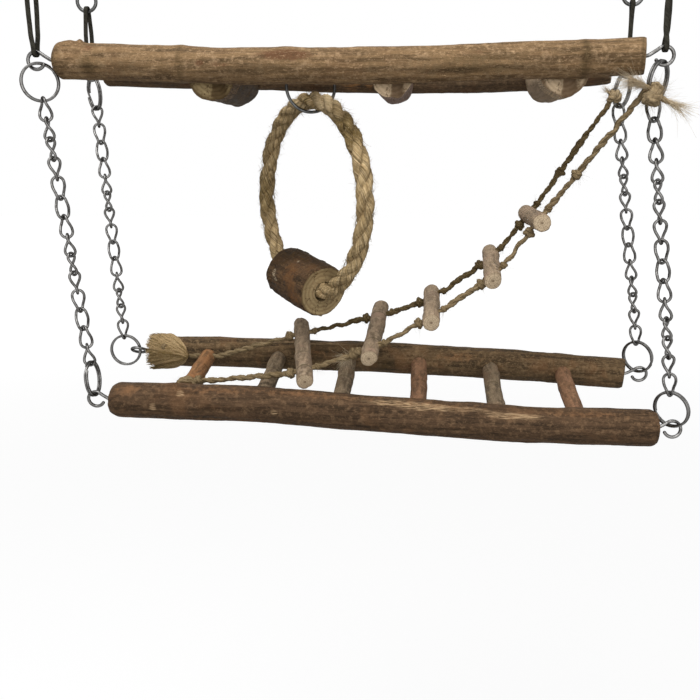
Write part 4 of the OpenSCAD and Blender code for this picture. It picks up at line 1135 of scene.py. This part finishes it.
# the twine goes through two holes in each rung, with a knot above and below it
holes = np.array([rungMiddles + s * ladder.holes / 2 * rungAlongs for s in (-1, 1)])
stops = np.concatenate([deckKnots[:, None], holes, topTies[:, None]], 1)
legs = unit(np.diff(stops, axis=1))
mean = squareTo(unit(legs[:, 1:] + legs[:, :-1]), rungAlongs[None])
knotOff = ladder.radius + twine.knot + play
above, below = holes + knotOff * mean, holes - knotOff * mean
ties = Sizes(frontAt=10.9, pitch=2.7, combed=25.5, inward=10.2, up=1.2, sleeve=.9, hairs=1100, locks=70)
# the foot's runs are slack, with a point below the straight line; the back one starts where its combed end
# begins
x = ties.combed - logs.half
fan = np.array([x, deckGap - ties.inward, logHeight("deckBackBranch", x) + ties.up])
fanRoot = onDeck(fan)
slack = (.62 * deckKnots[0] + .38 * below[0, 0] - .3 * zAxis, .68 * fanRoot + .32 * below[1, 0] - 4.2 * zAxis)


# overhand knot: a three-leaved closed curve, (sin t + 2 sin 2t, cos t - 2 cos 2t, -1.3 sin 3t), of laid twine
# about its axis, with a lumpy core
def knotSkin(at, axis, size, seed, lay=None, dark=0.0):
    lay = dict(lay or twine.lay, step=.4, pitch=4.6, lumps=.1)
    t = roundAngles(120)
    leaves = [np.sin(t) + 2 * np.sin(2 * t), np.cos(t) - 2 * np.cos(2 * t), -1.3 * np.sin(3 * t)]
    shape = np.stack(leaves, 1) * (size - 1.25) / 3
    axis = unit(np.asarray(axis, float))
    one = unit(np.cross(axis, [np.cos(seed), .3, np.sin(seed)]))
    loop = shape @ np.stack([one, np.cross(axis, one), axis])
    knot = laidCord(loop, lambda p: unit(p + 1e-6), lay, loop=True, start=seed, dark=lambda u: dark + 0 * u)
    knot["verts"] = knot["verts"] + at
    return [knot, ballSkin(at, size * .72, seed)]


# knot with hairs standing off it all round from a ball of radius reach
def hairyKnot(at, axis, size, seed, hairs, reach, length, hairSeed, **look):
    dice = np.random.default_rng(hairSeed)
    out = unit(dice.normal(size=(hairs, 3)))
    droop = .5 * dice.normal(size=(hairs, 3)) - .2 * zAxis
    lengths = length * (.4 + .9 * dice.random(hairs))
    return knotSkin(at, axis, size, seed, **look) + [looseFibres(at + reach * out, out, droop, lengths, .05)]


# twine through a list of points, eased at the bends, with a slight wander: lattice noise of its place
def twineSkin(points, seed, dark):
    path = easedPath(evenPath(np.array(points), .55), 3)
    t = np.linspace(0, 1, len(path))[:, None]
    drift = np.stack([latticeNoise(path / 9 + k, seed + k) for k in range(3)], 1)
    path = path + .35 * drift * np.sin(np.pi * t) ** .5
    swell = lambda u: 1 + .1 * np.sin(9 * u + seed) + .08 * np.sin(23 * u + 2 * seed)
    return laidCord(path, yAxis, twine.lay, start=seed, swell=swell, dark=lambda u: dark + 0 * u), path


# frayed end: twine along a short curve, bound over a share of its length, that opens into a brush of fibres
def frayedTail(start, way, droop, length, spread, count, seed, bound):
    t = np.linspace(0, 1, 30)[:, None]
    way, droop = unit(np.array(way, float)), np.array(droop, float)
    path = start + length * bound * (t * way + .5 * t ** 2 * droop)
    dice = np.random.default_rng(seed)
    root = path[dice.integers(6, 30, count)] + .4 * dice.normal(size=(count, 3))
    out = unit(way + spread * dice.normal(size=(count, 3)))
    bend = .4 * droop + .25 * dice.normal(size=(count, 3))
    brush = looseFibres(root, out, bend, length * (1 - bound) * (.5 + .5 * dice.random(count)), .1)
    brush["quadSlots"] += 1
    brush["triSlots"] += 1
    return [laidCord(path, yAxis, twine.lay, start=seed, swell=lambda u: 1 - .45 * u), brush]


# each run of twine: its body, its solid, the rungs whose knots it has, and its points on side s
runs = {
    "twineFoot": ("deck", "ladder_twine_foot", [0],
                  lambda s: [(deckKnots[0], fanRoot)[s], slack[s], below[s, 0], holes[s, 0], above[s, 0]]),
    "twineLower": ("ladder_lower", "ladder_twine_lower", [1],
                   lambda s: [above[s, 0], below[s, 1], holes[s, 1], above[s, 1], below[s, 2]]),
    "twineUpper": ("ladder_upper", "ladder_twine_upper", [2, 3],
                   lambda s: [below[s, 2], holes[s, 2], above[s, 2], below[s, 3], holes[s, 3], above[s, 3],
                              below[s, 4]]),
    "twineTop": ("ladder_top", "ladder_twine_top", [4],
                 lambda s: [below[s, 4], holes[s, 4], above[s, 4], topTies[s]])}
for name, (body, node, knotted, route) in runs.items():
    parts = []
    for s in (0, 1):
        # above the foot, the back run and its knots are darker: painted shade
        dark = .5 * s * (name != "twineFoot")
        skin, path = twineSkin(route(s), len(name) + s, dark)
        parts += [skin, cordFuzz(path, 1.4, count=int(len(path) * .5), length=2.4, thick=.04, seed=7 + s)]
        for k in knotted:
            way = mean[s, k]
            parts += hairyKnot(below[s, k], way, twine.knot + .3, k + s, hairs=30, reach=2.0, length=3.6,
                               hairSeed=11 * k + s, dark=dark)
            parts += hairyKnot(above[s, k], way, 2.0, 2 * k + s + 1, hairs=26, reach=1.6, length=3.2,
                               hairSeed=13 * k + s + 5, dark=dark)
            if (s, k) == (0, 1):
                # the knot under the second rung is frayed
                low = below[s, k] - 3 * way
                parts += hairyKnot(low, way, 3.4, 9, hairs=160, reach=2.4, length=4.0, hairSeed=61)
                parts += frayedTail(low, -way, (0, 0, -.5), length=12, spread=.3, count=160, seed=62,
                                    bound=.25)
        if name == "twineTop":
            # one more knot on the way up to the ring
            high = .7 * above[s, 4] + .3 * topTies[s]
            parts += hairyKnot(high, legs[s, 5], 2.9, 3 + s, hairs=40, reach=1.8, length=3.0, hairSeed=90 + s,
                               dark=dark)
    makePiece(name, parts, [twineFibre, hairFibre], body, [node])

# the front knot hangs a little outside the end of its twine
frontTie, backTie = topTies + np.array([[2.4, -.3, -3.0], [0, 0, 0]])
big = dict(twine.lay, strandR=1.15, off=.75)
parts = knotSkin(frontTie + [-.6, -.8, -2.4], (.2, .3, 1), 4.6, 2.2, big)
parts += hairyKnot(frontTie, (.5, .7, -.4), 5.2, 1.0, hairs=620, reach=3.4, length=4.2, hairSeed=3, lay=big)
parts += frayedTail(frontTie + [2.5, -2, -2], (1, -.12, -.35), (.3, 0, -.5), length=16, spread=.16, count=150,
                    seed=4, bound=.3)
parts += frayedTail(frontTie + [-1.5, -1, 2], (-1, -.05, .42), (0, 0, -.15), length=19, spread=.15, count=300,
                    seed=5, bound=.24)
makePiece("topTieFront", parts, [tieFibre, hairFibre], "upper_ring_front_right", ["top_tie_front"])
parts = hairyKnot(backTie, (.6, .5, -.5), 4.3, 4.0, hairs=160, reach=3.0, length=3.4, hairSeed=6, lay=big)
parts += frayedTail(backTie + [-1, 0, 1], (-.8, 0, .6), (-.2, 0, -.3), length=9, spread=.25, count=60, seed=8,
                    bound=.4)
makePiece("topTieBack", parts, [tieFibre, hairFibre], "upper_ring_back_right", ["top_tie_back"])


# turns of twine round a bar: a circle of the given radius that steps along it by one pitch a turn
def turnsRound(at, along, radius, count, seed):
    t = np.linspace(0, count, 90 * count)
    two = np.cross(along, zAxis)
    a = fullTurn * t + seed
    ring = np.cos(a)[:, None] * zAxis + np.sin(a)[:, None] * two
    path = at + radius * ring + (ties.pitch * (t - count / 2))[:, None] * along
    return laidCord(path, along, twine.lay, start=seed), path


rungA, rungB = onDeck(rungEnds(0))
rungWay = unit(rungB - rungA)
coil, path = turnsRound(rungA + rungWay * ties.frontAt, rungWay, frontR - .25, 2, .7)
parts = [coil, cordFuzz(path, 1.3, count=130, length=3.2, thick=.045, seed=21)]
parts += hairyKnot(deckKnots[0], (.9, .2, .3), 3.3, .4, hairs=40, reach=2.2, length=3.6, hairSeed=22)
makePiece("deckTieFront", parts, [twineFibre], "deck", ["deck_tie_front"])


# combed end of the twine on the back log: a cone of fibre that covers the log's end all round and narrows to
# the twine, outside which its radius sinks into the log, and long hairs that leave the twine and fan out to
# the log's end; hair i runs at x = from root to end, its turn goes from the root's to its own, and its height
# from the root's to the log's
def combedEnd():
    x = np.linspace(-logs.half, fan[0], 40)
    line = np.stack([x, 0 * x + deckGap, logHeight("deckBackBranch", x)], 1)
    a = roundAngles(90)
    share = ((x[-1] - x) / (x[-1] - x[0]))[:, None]
    covered = np.radians(8 + 90 * share ** .6 + 120 * share ** 5)
    off = np.abs((np.pi - a - .12 + np.pi) % fullTurn - np.pi)[None]
    rise = smoothStep(x, x[0] - .5, x[0] + 3)[:, None] * smoothStep(covered - off, -.1, .35)
    ragged = layeredNoise(roundPlaces(x[:, None] / 14, a, 5), 3, 6)
    size = 8.3 + (ties.sleeve + .55 + .35 * ragged) * rise
    sleeve = carrySection(line, yAxis, size[..., None] * circle(a))
    sleeve["quadUv"][:, 1] -= .09 * sleeve["quadUv"][:, 0]
    dice = np.random.default_rng(33)
    count, locks = ties.hairs, ties.locks
    turnA, highA = np.arctan2(ties.up, ties.inward), np.hypot(ties.inward, ties.up)
    # the hairs lie in locks, each with its own turn, height and darkness
    lock = dice.integers(0, locks, count)
    lockTurn = dice.triangular(-120, 20, 190, locks)
    lockHigh, lockDark = dice.random(locks), .75 * dice.random(locks)
    turnB = np.radians(lockTurn[lock] + 3.5 * dice.normal(size=count))
    s = np.linspace(0, 1, 11)[None]
    endX = dice.uniform(-logs.half - 1.8, -logs.half + 6, count)[:, None]
    hx = fan[0] + s * (endX - fan[0])
    spread = .7 * s ** .65 + .3 * s ** 4
    turn = turnA + spread * (turnB[:, None] - turnA) + .05 * np.sin(9 * s + dice.uniform(0, 6, (count, 1)))
    layer = 9.9 + 1.1 * lockHigh[lock][:, None] + .5 * dice.random((count, 1))
    high = highA + smoothStep(s, 0, .3) * (layer - highA) + s ** 6 * dice.uniform(-1.2, .5, (count, 1))
    high = high + .9 * dice.normal(size=(count, 1)) * (1 - s) ** 3
    hz = logHeight("deckBackBranch", hx) + high * np.sin(turn)
    hairs = threads(np.stack([hx, deckGap - high * np.cos(turn), hz], -1), .24, .6)
    hairs["marks"][:, 1] = np.repeat(lockDark[lock], len(hairs["verts"]) // count)
    whole = joinSkins([sleeve, hairs])
    whole["verts"] = onDeck(whole["verts"])
    return whole


makePiece("combedTwine", [combedEnd()], [combedFibre], "deck", [])
knotAt = deckKnots[1] + np.array([0, 2.6, -1.2])          # sunk into the combed fibres
parts = hairyKnot(knotAt, (.9, -.1, .3), 2.3, 1.4, hairs=40, reach=1.6, length=3.0, hairSeed=24)
makePiece("deckTieBack", parts, [twineFibre], "deck", ["deck_tie_back"])
print("twine done")

# a lamp has its place, power and size
stage = Sizes(floorZ=-.62, reach=6.0, sky=.36, floorTone=.18, paleTone=.24, lamps=[
    ("key", (-.3, -.6, 1.1), 18.5, 1.1), ("fill", (.3, -1.2, .0), 7.5, 1.0)])
# the floor is one flat grid of points
n = 40
across = np.linspace(-1, 1, n) * stage.reach
gx, gy = np.meshgrid(across, across, indexing="ij")
gz = stage.floorZ + 0 * gx
i, j = np.meshgrid(np.arange(n - 1), np.arange(n - 1), indexing="ij")
cell = np.stack([i * n + j, (i + 1) * n + j, (i + 1) * n + j + 1, i * n + j + 1], -1).reshape(-1, 4)
floorMesh = bpy.data.meshes.new("floor")
floorMesh.from_pydata(np.stack([gx, gy, gz], -1).reshape(-1, 3).tolist(), [], cell.tolist())
addObject("floor", floorMesh)


# 1 for rays that the camera sees directly, in a reflection or through glass
def seenRays(tree):
    path = put(tree, "LightPath").outputs
    direct = mathOf(tree, "MAXIMUM", path["Is Camera Ray"], path["Is Glossy Ray"])
    return mathOf(tree, "MAXIMUM", direct, path["Is Transmission Ray"])


paper = bpy.data.materials.new("paper")
paper.use_nodes = True
tree = paper.node_tree
tree.nodes.clear()
seen = seenRays(tree)
plain = put(tree, "BsdfDiffuse", {"Color": (stage.floorTone,) * 3 + (1,)})
pale = put(tree, "BsdfDiffuse", {"Color": (stage.paleTone,) * 3 + (1,)})
# far from the object, where the lamps no longer reach, the paper's own white is lifted
place = put(tree, "TexCoord").outputs["Object"]
away = put(tree, "VectorMath", {0: place}, operation="LENGTH").outputs["Value"]
lift = put(tree, "Emission", {"Color": (1, 1, 1, 1), "Strength": spreadTo(tree, away, .7, 3.0, .8, .97)})
bright = put(tree, "AddShader", {0: pale.outputs[0], 1: lift.outputs[0]})
out = put(tree, "MixShader", {0: seen, 1: plain.outputs[0], 2: bright.outputs[0]})
put(tree, "OutputMaterial", {0: out.outputs[0]})
floorMesh.materials.append(paper)

world = bpy.data.worlds.new("studio")
bpy.context.scene.world = world
world.use_nodes = True
tree = world.node_tree
tree.nodes.clear()
seen = seenRays(tree)
soft = put(tree, "Background", {"Color": (1, 1, 1, 1), "Strength": stage.sky})
white = put(tree, "Background", {"Color": (1, 1, 1, 1), "Strength": 1.0})
out = put(tree, "MixShader", {0: seen, 1: soft.outputs[0], 2: white.outputs[0]})
put(tree, "OutputWorld", {0: out.outputs[0]})

middle = np.array([.01, 0, -.14])
for label, place, power, size in stage.lamps:
    lamp = bpy.data.lights.new(label, "AREA")
    lamp.energy, lamp.size = power, size
    holder = addObject(label, lamp)
    holder.location = place
    toward = Vector((middle - np.array(place)).tolist())
    holder.rotation_euler = toward.to_track_quat("-Z", "Y").to_euler()

# the camera is fitted to points of the photo, with its turns in degrees
view = Sizes(lens=44.597, sensor=36, at=(.03855, -.4809, -.09895), pitch=76.811, yaw=4.456)
lens = bpy.data.cameras.new("camera")
lens.lens, lens.sensor_width = view.lens, view.sensor
lens.clip_start = .01
camera = addObject("camera", lens)
camera.location = view.at
camera.rotation_euler = (np.radians(view.pitch), 0, np.radians(view.yaw))
bpy.context.scene.camera = camera
bpy.context.scene.view_settings.view_transform = "Standard"

print("stage done")
